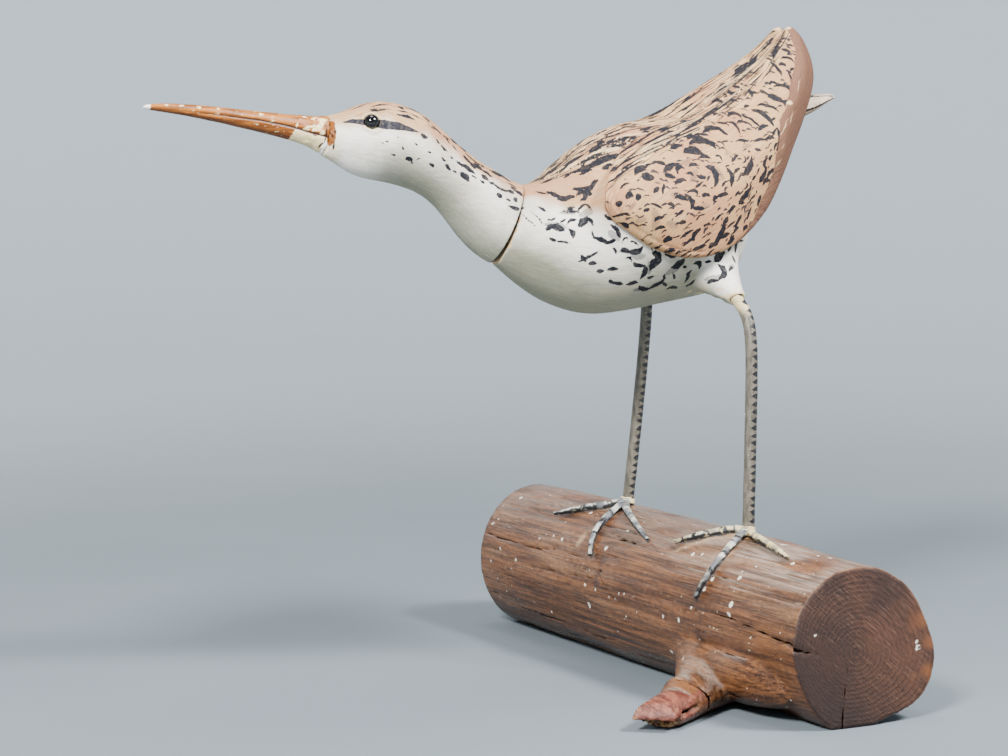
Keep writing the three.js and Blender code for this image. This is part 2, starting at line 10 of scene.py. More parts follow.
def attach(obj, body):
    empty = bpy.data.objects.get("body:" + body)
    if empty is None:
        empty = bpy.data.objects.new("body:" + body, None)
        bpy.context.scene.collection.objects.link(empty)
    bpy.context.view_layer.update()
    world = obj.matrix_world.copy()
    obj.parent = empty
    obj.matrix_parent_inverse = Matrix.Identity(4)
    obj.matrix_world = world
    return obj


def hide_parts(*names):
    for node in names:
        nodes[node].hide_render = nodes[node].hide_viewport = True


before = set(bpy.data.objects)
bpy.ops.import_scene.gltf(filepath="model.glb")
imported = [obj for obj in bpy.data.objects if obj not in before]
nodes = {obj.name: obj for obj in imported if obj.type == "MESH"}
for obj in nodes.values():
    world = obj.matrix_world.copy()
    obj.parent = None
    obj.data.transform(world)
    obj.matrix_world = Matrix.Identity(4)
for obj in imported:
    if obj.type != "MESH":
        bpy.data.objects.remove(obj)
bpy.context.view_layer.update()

# All shaping and painting is worked out in millimetres. Blender's own lengths are metres.
MM = 0.001

# Values that the carving was built from
HIP_HEIGHT = 215.9
WING_TILT = math.radians(38)
WING_PIVOT_HEIGHT = 84
LOG_HALF_LENGTH = 177.5
BARK_RADIUS = 43.7
NEAR_CUT_SKEW = math.tan(math.radians(-1.6))
FAR_CUT_SKEW = math.tan(math.radians(10.2))
PITH = (-5, 40.6)
STUB_ROOT = (-43.7, -97)
STUB_AHEAD = (-math.cos(math.radians(35)), -math.sin(math.radians(35)))
NECK_JOINT_TOP = (-104, 69)
NECK_JOINT_BOTTOM = (-127, 12.7)
NECK_JOINT_SKEW = math.tan(math.radians(12))
EYE_CENTRE = (-203.5, 13.65, HIP_HEIGHT + 97.4)
EYE_RADIUS = 4.35
FOOT_PLACES = {-1: (1.4, -66), 1: (1, 64)}
SIDE_NAMES = {-1: "left", 1: "right"}

# Farther than any stroke reaches, so a field starts as bare paint
UNPAINTED = 6.0


# Meshes

def choose(piece):
    """Only this piece is selected and active."""
    bpy.ops.object.select_all(action="DESELECT")
    piece.select_set(True)
    bpy.context.view_layer.objects.active = piece


def modify(piece, kind, **settings):
    """Adds a modifier and applies it. The piece stays selected."""
    choose(piece)
    modifier = piece.modifiers.new(kind.lower(), kind)
    for key, value in settings.items():
        setattr(modifier, key, value)
    bpy.ops.object.modifier_apply(modifier=modifier.name)


def copy_solid(node, name):
    """A copy of a solid of the frame, with its loose triangles merged and paired into quads."""
    mesh = nodes[node].data.copy()
    mesh.materials.clear()
    piece = bpy.data.objects.new(name, mesh)
    bpy.context.scene.collection.objects.link(piece)
    choose(piece)
    bpy.ops.object.mode_set(mode="EDIT")
    bpy.ops.mesh.select_all(action="SELECT")
    bpy.ops.mesh.remove_doubles(threshold=0.00001)
    bpy.ops.mesh.tris_convert_to_quads(face_threshold=0.7, shape_threshold=0.7)
    bpy.ops.object.mode_set(mode="OBJECT")
    return piece


def crease_sharp_edges(piece, angle):
    """Keeps edges that turn by more than an angle in degrees through subdivision."""
    choose(piece)
    bpy.ops.object.mode_set(mode="EDIT")
    bpy.ops.mesh.select_mode(type="EDGE")
    bpy.ops.mesh.select_all(action="DESELECT")
    bpy.ops.mesh.edges_select_sharp(sharpness=math.radians(angle))
    bpy.ops.transform.edge_crease(value=1)
    bpy.ops.object.mode_set(mode="OBJECT")


def carve(node, name, voxel, rounds, levels=2, sharp=60):
    """A finely meshed copy of a solid with its facets rounded away. The voxel size is in millimetres."""
    piece = copy_solid(node, name)
    crease_sharp_edges(piece, sharp)
    modify(piece, "SUBSURF", levels=levels, render_levels=levels)
    modify(piece, "REMESH", mode="VOXEL", voxel_size=voxel * MM, adaptivity=0)
    modify(piece, "SMOOTH", factor=0.5, iterations=rounds)
    bpy.ops.object.shade_smooth()
    return piece


def read_vectors(rows, name):
    flat = np.empty(len(rows) * 3)
    rows.foreach_get(name, flat)
    return flat.reshape(-1, 3)


def points_of(piece):
    return read_vectors(piece.data.vertices, "co") / MM


def normals_of(piece):
    return read_vectors(piece.data.vertex_normals, "vector")


def set_points(piece, points):
    piece.data.vertices.foreach_set("co", (points * MM).ravel())
    piece.data.update()


def push(piece, amount):
    """Moves each vertex along its normal by its own amount in millimetres."""
    set_points(piece, points_of(piece) + normals_of(piece) * np.asarray(amount)[:, None])


def rough(points, stretch, seed=0):
    """Smooth noise from -1 to 1 at points in millimetres, stretched alike or along each axis."""
    scaled = points * np.asarray(stretch) + seed
    return np.array([noise.noise(Vector(spot)) for spot in scaled])


def cuts(points, *kinds):
    """Marks of the knife or the weather, of several kinds: each has a stretch, a seed and a depth."""
    return sum(rough(points, stretch, seed) * depth for stretch, seed, depth in kinds)


def ease(values, low, high):
    """0 below low, 1 above high, smooth between."""
    share = np.clip((values - low) / (high - low), 0, 1)
    return share * share * (3 - 2 * share)


def ridge(values, middle, width):
    """1 at the middle, falling away to both sides."""
    return np.exp(-(((values - middle) / width) ** 2))


def farthest_reach(turn, reach, part, sectors, least):
    """How far one part reaches in each sector of a turn from 0 to 360, and the same at every vertex."""
    size = 360 / sectors
    edge = np.full(sectors, float(least))
    sector = np.minimum((turn[part] / size).astype(int), sectors - 1)
    np.maximum.at(edge, sector, reach[part])
    return edge, np.interp(turn, (np.arange(sectors) + 0.5) * size, edge, period=360)


def keep(piece, **fields):
    """Stores each field on the vertices under its name, for the paint to read."""
    for name, values in fields.items():
        layer = piece.data.attributes.new(name, "FLOAT", "POINT")
        layer.data.foreach_set("value", np.asarray(values, dtype=np.float32))


def keep_vectors(piece, name, values):
    layer = piece.data.attributes.new(name, "FLOAT_VECTOR", "POINT")
    layer.data.foreach_set("vector", np.asarray(values, dtype=np.float32).ravel())


# Brush strokes, as distances in millimetres from their painted edge

def unpainted(places):
    """A field with no stroke on it."""
    return np.full(len(places), UNPAINTED)


def only(part, field):
    """A field's strokes on one part of the piece alone."""
    return np.where(part, field, UNPAINTED)


def sweep(field, places, spine, halves):
    """Lowers the field to its distance from a brush stroke along a spine, with a half width at each point."""
    spine = np.asarray(spine, float)
    reach = max(halves) + UNPAINTED / 2
    low, high = spine.min(axis=0) - reach, spine.max(axis=0) + reach
    near = np.nonzero(((places > low) & (places < high)).all(axis=1))[0]
    close, best = places[near], field[near]
    for start, end, first, last in zip(spine, spine[1:], halves, halves[1:]):
        step = end - start
        share = np.clip((close - start) @ step / max(step @ step, 1e-9), 0, 1)
        across = np.linalg.norm(close - start - share[:, None] * step, axis=1)
        best = np.minimum(best, across - (first + (last - first) * share))
    field[near] = best


# Half widths along a short stroke and along a long streak, as shares of the full width
STROKE_PROFILE = (0.1, 0.4, 0.5, 0.42, 0.12)
STREAK_PROFILE = (0.1, 0.5, 0.45, 0.1)


def stroke(field, places, mark):
    """Paints one curved stroke: place, length, turn in degrees, bend as a share of the length, width."""
    place_u, place_v, length, turn, bend, width = mark
    ahead = (math.cos(math.radians(turn)), math.sin(math.radians(turn)))
    spine = []
    for share in (-0.5, -0.25, 0, 0.25, 0.5):
        along = share * length
        aside = bend * length * (0.5 - (2 * share) ** 2)
        spine.append((place_u + along * ahead[0] - aside * ahead[1],
                      place_v + along * ahead[1] + aside * ahead[0]))
    sweep(field, places, spine, [width * share for share in STROKE_PROFILE])


def strokes(places, marks):
    """The field of a list of strokes."""
    field = unpainted(places)
    for mark in marks:
        stroke(field, places, mark)
    return field


def pair(first, second):
    return np.stack([first, second], axis=1)


def wavy(places, points, reach=0.5):
    """Places a little adrift, so that the strokes painted on them waver as a hand's do."""
    return places + pair(rough(points, 0.22, 31), rough(points, 0.22, 57)) * reach * 2


TRIES_PER_MARK = 8


def between_marks(hand, marks, area, count, gap, draw):
    """More marks in the gaps between others. The draw makes one at a place that is free."""
    taken = [mark[:2] for mark in marks]
    added = []
    for _ in range(count * TRIES_PER_MARK):
        place = (hand.uniform(*area[0]), hand.uniform(*area[1]))
        if len(added) < count and min(math.dist(place, other) for other in taken) > gap:
            taken.append(place)
            added.append(draw(hand, place))
    return added


def streaks(places, hand, edge, run, count, lengths, widths):
    """The field of long thin strokes down a fan: each keeps its share of the fan's half width, nearly."""
    field = unpainted(places)
    for _ in range(count):
        share = hand.uniform(-1, 1)
        drift = hand.uniform(-0.08, 0.08)
        length = hand.uniform(*lengths)
        first = hand.uniform(run[0], run[1] - length)
        width = hand.uniform(*widths)
        spine = []
        for part in (0, 0.33, 0.67, 1):
            place = first + part * length
            spine.append((place, (share + drift * part) * edge(place)))
        sweep(field, places, spine, [width * part for part in STREAK_PROFILE])
    return field


def loosened(marks, seed, shift, swing):
    """The same kind of marks as another hand pass would set them down: each a little moved and turned."""
    hand = random.Random(seed)
    loose = []
    for place_u, place_v, length, turn, bend, width in marks:
        loose.append((
            place_u + hand.uniform(-shift, shift),
            place_v + hand.uniform(-shift, shift),
            length * hand.uniform(0.85, 1.15),
            turn + hand.uniform(-swing, swing),
            bend,
            width * hand.uniform(0.85, 1.15),
        ))
    return loose


# Materials

def link(tree, kind, inputs=(), **settings):
    """A new shader node with its settings, and each input joined to an output or set to a value."""
    made = tree.nodes.new("ShaderNode" + kind)
    for key, value in settings.items():
        setattr(made, key, value)
    for socket, value in dict(inputs).items():
        if isinstance(value, bpy.types.NodeSocket):
            tree.links.new(value, made.inputs[socket])
        else:
            made.inputs[socket].default_value = value
    return made


def joined(kind, inputs, **settings):
    """A new shader node in the tree of the outputs that feed it."""
    fed = [value for value in inputs.values() if isinstance(value, bpy.types.NodeSocket)]
    return link(fed[0].id_data, kind, inputs, **settings)


def colour(red, green, blue):
    """A colour written as it looks on a screen, from 0 to 255, as Blender's linear values."""
    def linear(value):
        value /= 255
        return value / 12.92 if value <= 0.04045 else ((value + 0.055) / 1.055) ** 2.4
    return (linear(red), linear(green), linear(blue), 1)


def field_of(tree, name):
    return link(tree, "Attribute", attribute_name=name).outputs["Fac"]


def vector_of(tree, name):
    return link(tree, "Attribute", attribute_name=name).outputs["Vector"]


def speckle(tree, stretch, detail=2.0, roughness=0.5, distortion=0.0, vector=None):
    """Noise on the piece's own coordinates. The stretch is in features to the metre, alike or by axis."""
    source = vector or link(tree, "TexCoord").outputs["Object"]
    scale = stretch if isinstance(stretch, tuple) else (stretch, stretch, stretch)
    placed = link(tree, "Mapping", {"Vector": source, "Scale": scale})
    made = link(tree, "TexNoise", {
        "Vector": placed.outputs[0], "Scale": 1.0, "Detail": detail,
        "Roughness": roughness, "Distortion": distortion,
    })
    return made.outputs[0]


def span(value, low, high, bottom=0.0, top=1.0):
    """A smooth step of a value from low to high."""
    inputs = {0: value, 1: low, 2: high, 3: bottom, 4: top}
    return joined("MapRange", inputs, interpolation_type="SMOOTHSTEP").outputs[0]


def work(operation, first, second=0.0):
    return joined("Math", {0: first, 1: second}, operation=operation).outputs[0]


def product(first, second):
    return work("MULTIPLY", first, second)


def blend(share, under, over):
    """One colour over another, by a share from 0 to 1."""
    return joined("Mix", {0: share, 6: under, 7: over}, data_type="RGBA").outputs[2]


def layers(base, *coats):
    """Coats of colour over a first one, each laid by its own share."""
    for share, coat in coats:
        base = blend(share, base, coat)
    return base


def raised(height, strength, distance, under=None):
    """Bump from a height, over another bump where there is one."""
    inputs = {"Height": height, "Strength": strength, "Distance": distance * MM}
    if under:
        inputs["Normal"] = under
    return joined("Bump", inputs).outputs[0]


def new_finish(name, **constants):
    """A material with a Principled shader, and values that are the same all over it."""
    material = bpy.data.materials.new(name)
    material.use_nodes = True
    shader = material.node_tree.nodes["Principled BSDF"]
    for socket, value in constants.items():
        shader.inputs[socket.replace("_", " ")].default_value = value
    return material, material.node_tree, shader


def connect(shader, base, roughness, normal):
    for name, output in (("Base Color", base), ("Roughness", roughness), ("Normal", normal)):
        shader.id_data.links.new(output, shader.inputs[name])


def adrift(tree, name, drift, amount):
    """A field of the piece, with noise added to it."""
    return work("ADD", field_of(tree, name), product(drift, amount))


def painted(tree, name, fray, softness=0.12, dryness=0.2):
    """Where a stroke's paint lies: its field, frayed at the edge and thinned where the brush ran dry."""
    distance = adrift(tree, name, work("SUBTRACT", speckle(tree, 750, 3.0, 0.6), 0.5), fray)
    laid = span(distance, -softness, softness, 1.0, 0.0)
    dry = span(speckle(tree, 500, 4.0, 0.7), 0.4, 0.52, 1.0 - dryness, 1.0)
    return product(laid, dry)


# Colours of the paints
WHITE_PAINT = colour(242, 236, 225)
GREY_WHITE = colour(188, 182, 170)
# Green-grey for painted shade under the belly, breast and throat
SHADE_GREEN_GREY = colour(128, 129, 106)
CREAM = colour(224, 204, 156)
BUFF = colour(182, 141, 96)
PINK_BUFF = colour(172, 122, 86)
PALE_BUFF = colour(222, 192, 148)
BLUE_BLACK = colour(20, 21, 29)
SLATE = colour(46, 45, 57)
STRIPE_DARK = colour(32, 32, 42)
BAND_BROWN = colour(130, 92, 71)
BAND_DARK = colour(92, 62, 48)
BARE_WOOD = colour(214, 180, 132)
FILLER = colour(126, 70, 14)
# The dark of the saw's scratches, also used for painted shade on the sawn end
SAW_DARK_AND_SHADE = colour(30, 18, 15)


def fan_lines(tree):
    """Shares of the fine dark and pale lines that fan out from the neck over back and wings."""
    flow = vector_of(tree, "flow")
    zone = field_of(tree, "top")
    dark = span(speckle(tree, 1, 4.0, 0.6, 0.1, flow), 0.51, 0.58)
    pale = span(speckle(tree, (0.8, 1.3, 3), 3.0, 0.55, 0.1, flow), 0.54, 0.62)
    return product(dark, zone), product(pale, zone)


def brushwork(tree, base, light, dark, strength):
    """The run of the brush: thin paler and darker lines along the flow of the form."""
    lines = speckle(tree, (0.7, 3.4, 1), 3.0, 0.6, 0.2, vector_of(tree, "flow"))
    base = layers(
        base,
        (span(lines, 0.5, 0.72, 0.0, strength), light),
        (span(lines, 0.5, 0.28, 0.0, strength), dark),
    )
    return base, lines


def plumage_finish():
    """Off-white breast and belly, buff crown and back, with every painted mark, and green-grey painted shade
    where they face down.
    """
    material, tree, shader = new_finish("plumage_paint", Specular_IOR_Level=0.2)
    cloud = speckle(tree, 38, 3.0)
    fine = speckle(tree, 420, 4.0, 0.6)
    white = layers(
        WHITE_PAINT,
        (span(cloud, 0.42, 0.68, 0.0, 0.8), GREY_WHITE),
        # Painted shade: green-grey where the surface faces down
        (field_of(tree, "under"), SHADE_GREEN_GREY),
    )
    buff = blend(span(cloud, 0.35, 0.65), BUFF, PINK_BUFF)
    base = blend(field_of(tree, "buff"), white, buff)
    base, lines = brushwork(tree, base, PALE_BUFF, GREY_WHITE, 0.5)
    dark, pale = fan_lines(tree)
    base = layers(
        base,
        (span(fine, 0.58, 0.75, 0.0, 0.4), GREY_WHITE),
        (product(pale, 0.7), PALE_BUFF),
        (product(dark, 0.8), BLUE_BLACK),
        (field_of(tree, "cream"), CREAM),
        (product(painted(tree, "pale_strokes", 0.9), 0.8), PALE_BUFF),
        (product(painted(tree, "slate", 1.2, 0.35), 0.6), SLATE),
        (painted(tree, "marks", 1.4, 0.12, 0.06), BLUE_BLACK),
        (painted(tree, "stripe", 0.6, 0.15, 0.08), STRIPE_DARK),
        (painted(tree, "filler", 1.0, 0.15, 0.1), FILLER),
        # Dark pits, and painted shadow of the open neck joint
        (painted(tree, "pits", 0.8, 0.2, 0.0), colour(26, 15, 11)),
        (span(field_of(tree, "bare"), 0.35, 0.6), BARE_WOOD),
    )
    bump = raised(speckle(tree, (120, 600, 600), 3.0), 0.6, 0.5)
    bump = raised(lines, 0.6, 0.5, bump)
    bump = raised(fine, 0.3, 0.25, bump)
    connect(shader, base, span(fine, 0.25, 0.75, 0.5, 0.75), bump)
    return material


def wing_finish():
    """Buff wings with blue-black crescents, streaked tops and a brown rear edge."""
    material, tree, shader = new_finish("wing_paint", Specular_IOR_Level=0.18)
    cloud = speckle(tree, 45, 3.0)
    fine = speckle(tree, 480, 4.0, 0.6)
    buff = blend(span(cloud, 0.36, 0.66), BUFF, PINK_BUFF)
    base, lines = brushwork(tree, buff, PALE_BUFF, PINK_BUFF, 0.7)
    dark, pale = fan_lines(tree)
    past_edge = adrift(tree, "band", work("SUBTRACT", speckle(tree, 160, 3.0), 0.5), 3.0)
    band = layers(
        BAND_BROWN,
        (span(lines, 0.35, 0.65), BAND_DARK),
        (span(past_edge, -4.5, -10.0, 0.0, 0.6), BAND_DARK),
    )
    base = layers(
        base,
        (product(pale, 0.75), PALE_BUFF),
        (product(dark, 0.85), BLUE_BLACK),
        (product(painted(tree, "slate", 2.4, 0.8), 0.45), SLATE),
        (painted(tree, "flecks", 0.8, 0.15, 0.15), STRIPE_DARK),
        (painted(tree, "marks", 1.2, 0.12, 0.06), BLUE_BLACK),
        (span(past_edge, -0.5, 0.4, 1.0, 0.0), band),
        (product(painted(tree, "pale_strokes", 0.9), 0.5), PALE_BUFF),
        (painted(tree, "chips", 1.0, 0.15, 0.0), BARE_WOOD),
    )
    bump = raised(fine, 0.35, 0.25, raised(lines, 0.5, 0.35))
    connect(shader, base, span(fine, 0.25, 0.75, 0.52, 0.78), bump)
    return material


def bill_finish():
    """Warm brown paint, flecked along the bill, white at the tip, worn to cream and filler at its base, and
    darker brown painted shade where it faces down.
    """
    material, tree, shader = new_finish("bill_paint", Specular_IOR_Level=0.32)
    grain = speckle(tree, (45, 520, 520), 4.0, 0.6)
    flecks = span(speckle(tree, (320, 900, 900)), 0.66, 0.7)
    base = layers(
        colour(112, 60, 16),
        (span(grain, 0.38, 0.66), colour(170, 102, 30)),
        # Painted shade: darker brown where the bill faces down
        (field_of(tree, "under"), colour(78, 42, 28)),
        (product(flecks, 0.7), CREAM),
        (painted(tree, "pale_strokes", 2.6, 0.2, 0.2), CREAM),
        (painted(tree, "white", 1.6, 0.2, 0.1), WHITE_PAINT),
        (painted(tree, "filler", 1.0, 0.15, 0.1), FILLER),
        (painted(tree, "pits", 0.7, 0.25, 0.0), colour(48, 28, 20)),
    )
    connect(shader, base, span(grain, 0.2, 0.8, 0.34, 0.52), raised(grain, 0.45, 0.35))
    return material


def eye_finish():
    """Black glass."""
    gloss = {"Specular_IOR_Level": 0.5, "Coat_Weight": 0.25, "Coat_Roughness": 0.02}
    material, tree, shader = new_finish("eye_glass", **gloss)
    depth = speckle(tree, 200, 1.0)
    base = blend(depth, colour(2, 2, 3), colour(7, 6, 6))
    connect(shader, base, span(depth, 0.0, 1.0, 0.04, 0.1), raised(depth, 0.02, 0.02))
    return material


def leg_finish():
    """Grey-tan paint with a row of dark wedges down the rear of each leg."""
    material, tree, shader = new_finish("leg_paint", Specular_IOR_Level=0.45)
    fine = speckle(tree, (520, 520, 160), 4.0, 0.6)
    place = work("FRACT", adrift(tree, "tick", speckle(tree, 110, 3.0, 0.6), 1.1))
    off = work("ABSOLUTE", work("SUBTRACT", place, 0.5))
    reach = span(field_of(tree, "tick_side"), -0.15, 0.7, 0.0, 0.32)
    wedge = span(work("SUBTRACT", off, reach), -0.03, 0.03, 1.0, 0.0)
    thinned = span(speckle(tree, 900), 0.32, 0.45, 0.55, 1.0)
    base = layers(
        colour(77, 72, 62),
        (span(fine, 0.35, 0.65), colour(110, 103, 90)),
        (field_of(tree, "cream"), CREAM),
        (product(wedge, thinned), colour(20, 20, 23)),
        (span(speckle(tree, (420, 420, 300), 3.0, 0.6), 0.69, 0.72), colour(206, 198, 178)),
    )
    connect(shader, base, span(fine, 0.2, 0.8, 0.38, 0.58), raised(fine, 0.4, 0.3))
    return material


def toe_finish():
    """Grey-blue paint with black bars, worn to cream and yellow, and near-black painted shade on the
    undersides.
    """
    material, tree, shader = new_finish("toe_paint", Specular_IOR_Level=0.45)
    fine = speckle(tree, 520, 4.0, 0.6)
    patches = speckle(tree, 150, 3.0)
    place = work("FRACT", adrift(tree, "bars", speckle(tree, 120), 2.2))
    bar = product(span(place, 0.1, 0.16), span(place, 0.38, 0.46, 1.0, 0.0))
    broken = span(speckle(tree, 300, 3.0), 0.41, 0.46)
    base = layers(
        colour(72, 80, 94),
        (span(patches, 0.4, 0.6), colour(178, 178, 172)),
        (field_of(tree, "cream"), colour(226, 204, 142)),
        (product(product(bar, broken), field_of(tree, "barred")), colour(20, 20, 26)),
        # Painted shade, near black, where the toes face down
        (product(field_of(tree, "undercut"), span(patches, 0.36, 0.48)), colour(22, 19, 20)),
    )
    connect(shader, base, span(fine, 0.2, 0.8, 0.42, 0.62), raised(fine, 0.6, 0.4))
    return material


# Growth rings from the pith to the bark
RING_COUNT = 17


def sawn_wood(tree):
    """Growth rings, a little uneven, under the saw's diagonal scratches, with painted shade toward the lower
    left.
    """
    turn = work("SINE", product(adrift(tree, "rings", speckle(tree, 36, 4.0, 0.7), 2.4), math.tau))
    depth = span(speckle(tree, 40), 0.35, 0.6, 0.35, 1.0)
    late = product(span(turn, 0.7, 0.98), depth)
    patches = speckle(tree, 22, 3.0)
    fibre = speckle(tree, (800, 200, 800), 4.0, 0.7)
    scratch = speckle(tree, (1.4, 1.6, 1), 4.0, 0.7, 0.0, vector_of(tree, "saw"))
    outermost = span(field_of(tree, "rings"), RING_COUNT - 0.45, RING_COUNT - 0.1)
    rim = product(outermost, span(patches, 0.4, 0.55))
    base = layers(
        colour(48, 28, 21),
        (span(patches, 0.4, 0.62), colour(74, 45, 31)),
        (product(late, 0.75), colour(22, 13, 10)),
        (span(fibre, 0.5, 0.7, 0.0, 0.5), colour(34, 20, 16)),
        (span(fibre, 0.46, 0.3, 0.0, 0.35), colour(112, 76, 54)),
        (span(scratch, 0.54, 0.66, 0.0, 0.45), colour(116, 86, 70)),
        (span(scratch, 0.47, 0.36, 0.0, 0.7), SAW_DARK_AND_SHADE),
        (field_of(tree, "warm"), colour(124, 74, 38)),
        # Painted shade, darker toward the lower left of the sawn end
        (field_of(tree, "shade"), SAW_DARK_AND_SHADE),
        (product(rim, 0.7), colour(150, 112, 82)),
    )
    return base, scratch, turn


def log_finish():
    """Weathered brown wood: grain along the log, growth rings on the sawn ends, flecks of white paint, dark
    stains, and painted shade toward the bottom.
    """
    material, tree, shader = new_finish("log_wood")
    grain = speckle(tree, (400, 12, 400), 6.0, 0.72, 0.2)
    lines = speckle(tree, (900, 18, 900), 5.0, 0.7)
    fleck = speckle(tree, (500, 240, 500), 4.0, 0.7)
    patches = speckle(tree, (70, 8, 70), 5.0, 0.65)
    greyed = product(field_of(tree, "grey"), span(lines, 0.36, 0.6))
    warmed = product(field_of(tree, "warm"), span(grain, 0.36, 0.56, 0.3, 1.0))
    stub = blend(span(grain, 0.4, 0.62), colour(84, 40, 30), colour(134, 80, 62))
    torn = blend(span(lines, 0.42, 0.6), colour(58, 31, 20), colour(204, 156, 108))
    sawn, scratch, turn = sawn_wood(tree)
    end = field_of(tree, "end")
    # Dark cracks, and painted shadow in the gap over the stub's lower splinter
    crack = painted(tree, "cracks", 0.45, 0.22, 0.0)
    base = layers(
        colour(68, 41, 25),
        (span(grain, 0.38, 0.64), colour(124, 79, 47)),
        (span(patches, 0.5, 0.7, 0.0, 0.6), colour(136, 98, 66)),
        (span(patches, 0.46, 0.28, 0.0, 0.6), colour(38, 24, 18)),
        (span(fleck, 0.5, 0.7, 0.0, 0.6), colour(44, 27, 19)),
        (span(fleck, 0.44, 0.3, 0.0, 0.4), colour(156, 116, 76)),
        (greyed, colour(154, 138, 125)),
        (warmed, colour(150, 96, 50)),
        # Dark stains, and painted shade darker toward the bottom of the log
        (field_of(tree, "shade"), colour(38, 23, 18)),
        (span(lines, 0.56, 0.66, 0.0, 0.8), colour(26, 16, 12)),
        (field_of(tree, "stub"), stub),
        (end, sawn),
        (field_of(tree, "snapped"), torn),
        (product(painted(tree, "smears", 4.5, 1.8, 0.5), 0.4), colour(206, 174, 132)),
        (painted(tree, "specks", 1.8, 0.15, 0.2), colour(228, 218, 202)),
        (crack, colour(8, 5, 4)),
    )
    tree.links.new(span(crack, 0.0, 1.0, 0.38, 0.0), shader.inputs["Specular IOR Level"])
    bump = raised(lines, 0.8, 0.6)
    bump = raised(product(grain, work("SUBTRACT", 1.0, end)), 0.5, 0.9, bump)
    bump = raised(product(scratch, end), 0.8, 0.6, bump)
    bump = raised(product(turn, end), 0.25, 0.2, bump)
    gloss = span(patches, 0.35, 0.65, 0.4, 0.22)
    matt = joined("Mix", {0: work("MAXIMUM", end, crack), 2: gloss, 3: 0.75}).outputs[0]
    connect(shader, base, matt, bump)
    return material


# Places on the pieces

def wing_place(points):
    """Along the wing from its front lobe to its tip, and across it toward the back."""
    rise = points[:, 2] - HIP_HEIGHT - WING_PIVOT_HEIGHT
    along = points[:, 0] * math.cos(WING_TILT) + rise * math.sin(WING_TILT)
    across = -points[:, 0] * math.sin(WING_TILT) + rise * math.cos(WING_TILT)
    return along, across


# How far the streaks fan out from the middle of the back: x, and the distance of the outermost
FAN_X = (-104, -90, -75, -60, -40, -20, 0, 20, 40, 60, 80)
FAN_WIDTH = (3, 12, 21, 29, 37, 38, 34, 27, 20, 16, 12)

# The wing's crest: places along it, the crest's place across, its distance out from the middle, and how
# far the streaks reach to each side of it
CREST_ALONG = (-81, -60, -41, -20, 0, 30, 60, 85, 97)
CREST_ACROSS = (20, 25, 26, 23, 20, 17, 13, 13.5, 12.5)
CREST_OUT = (28, 26, 24, 22, 21, 19, 13, 7, 3)
CREST_REACH = (19, 21, 23, 24, 25, 23, 19, 12, 6)

# How long the brush's fine lines are in millimetres, and how many lie across the form
LINE_LENGTH = 15
LINES_ACROSS = 15


def keep_flow(piece, along, share):
    """The fine lines' own coordinates: how far along the form, and how far across it."""
    flow = np.stack([along / LINE_LENGTH, share * LINES_ACROSS, np.zeros(len(along))], axis=1)
    keep_vectors(piece, "flow", flow)


def girth_of(points, normals, side):
    """How far round from the wing's crest: inward above zero, outward and down below it."""
    along, across = wing_place(points)
    depth = np.clip(np.interp(along, CREST_ALONG, CREST_ACROSS) - across, 0, None)
    inner = ease(-normals[:, 1] * side, -0.25, 0.25)
    return np.interp(along, CREST_ALONG, CREST_OUT) - np.abs(points[:, 1]) + depth * (2 * inner - 1)


def fan_edge(place):
    return float(np.interp(place, FAN_X, FAN_WIDTH))


def crest_edge(place):
    return float(np.interp(place, CREST_ALONG, CREST_REACH))


# Wing

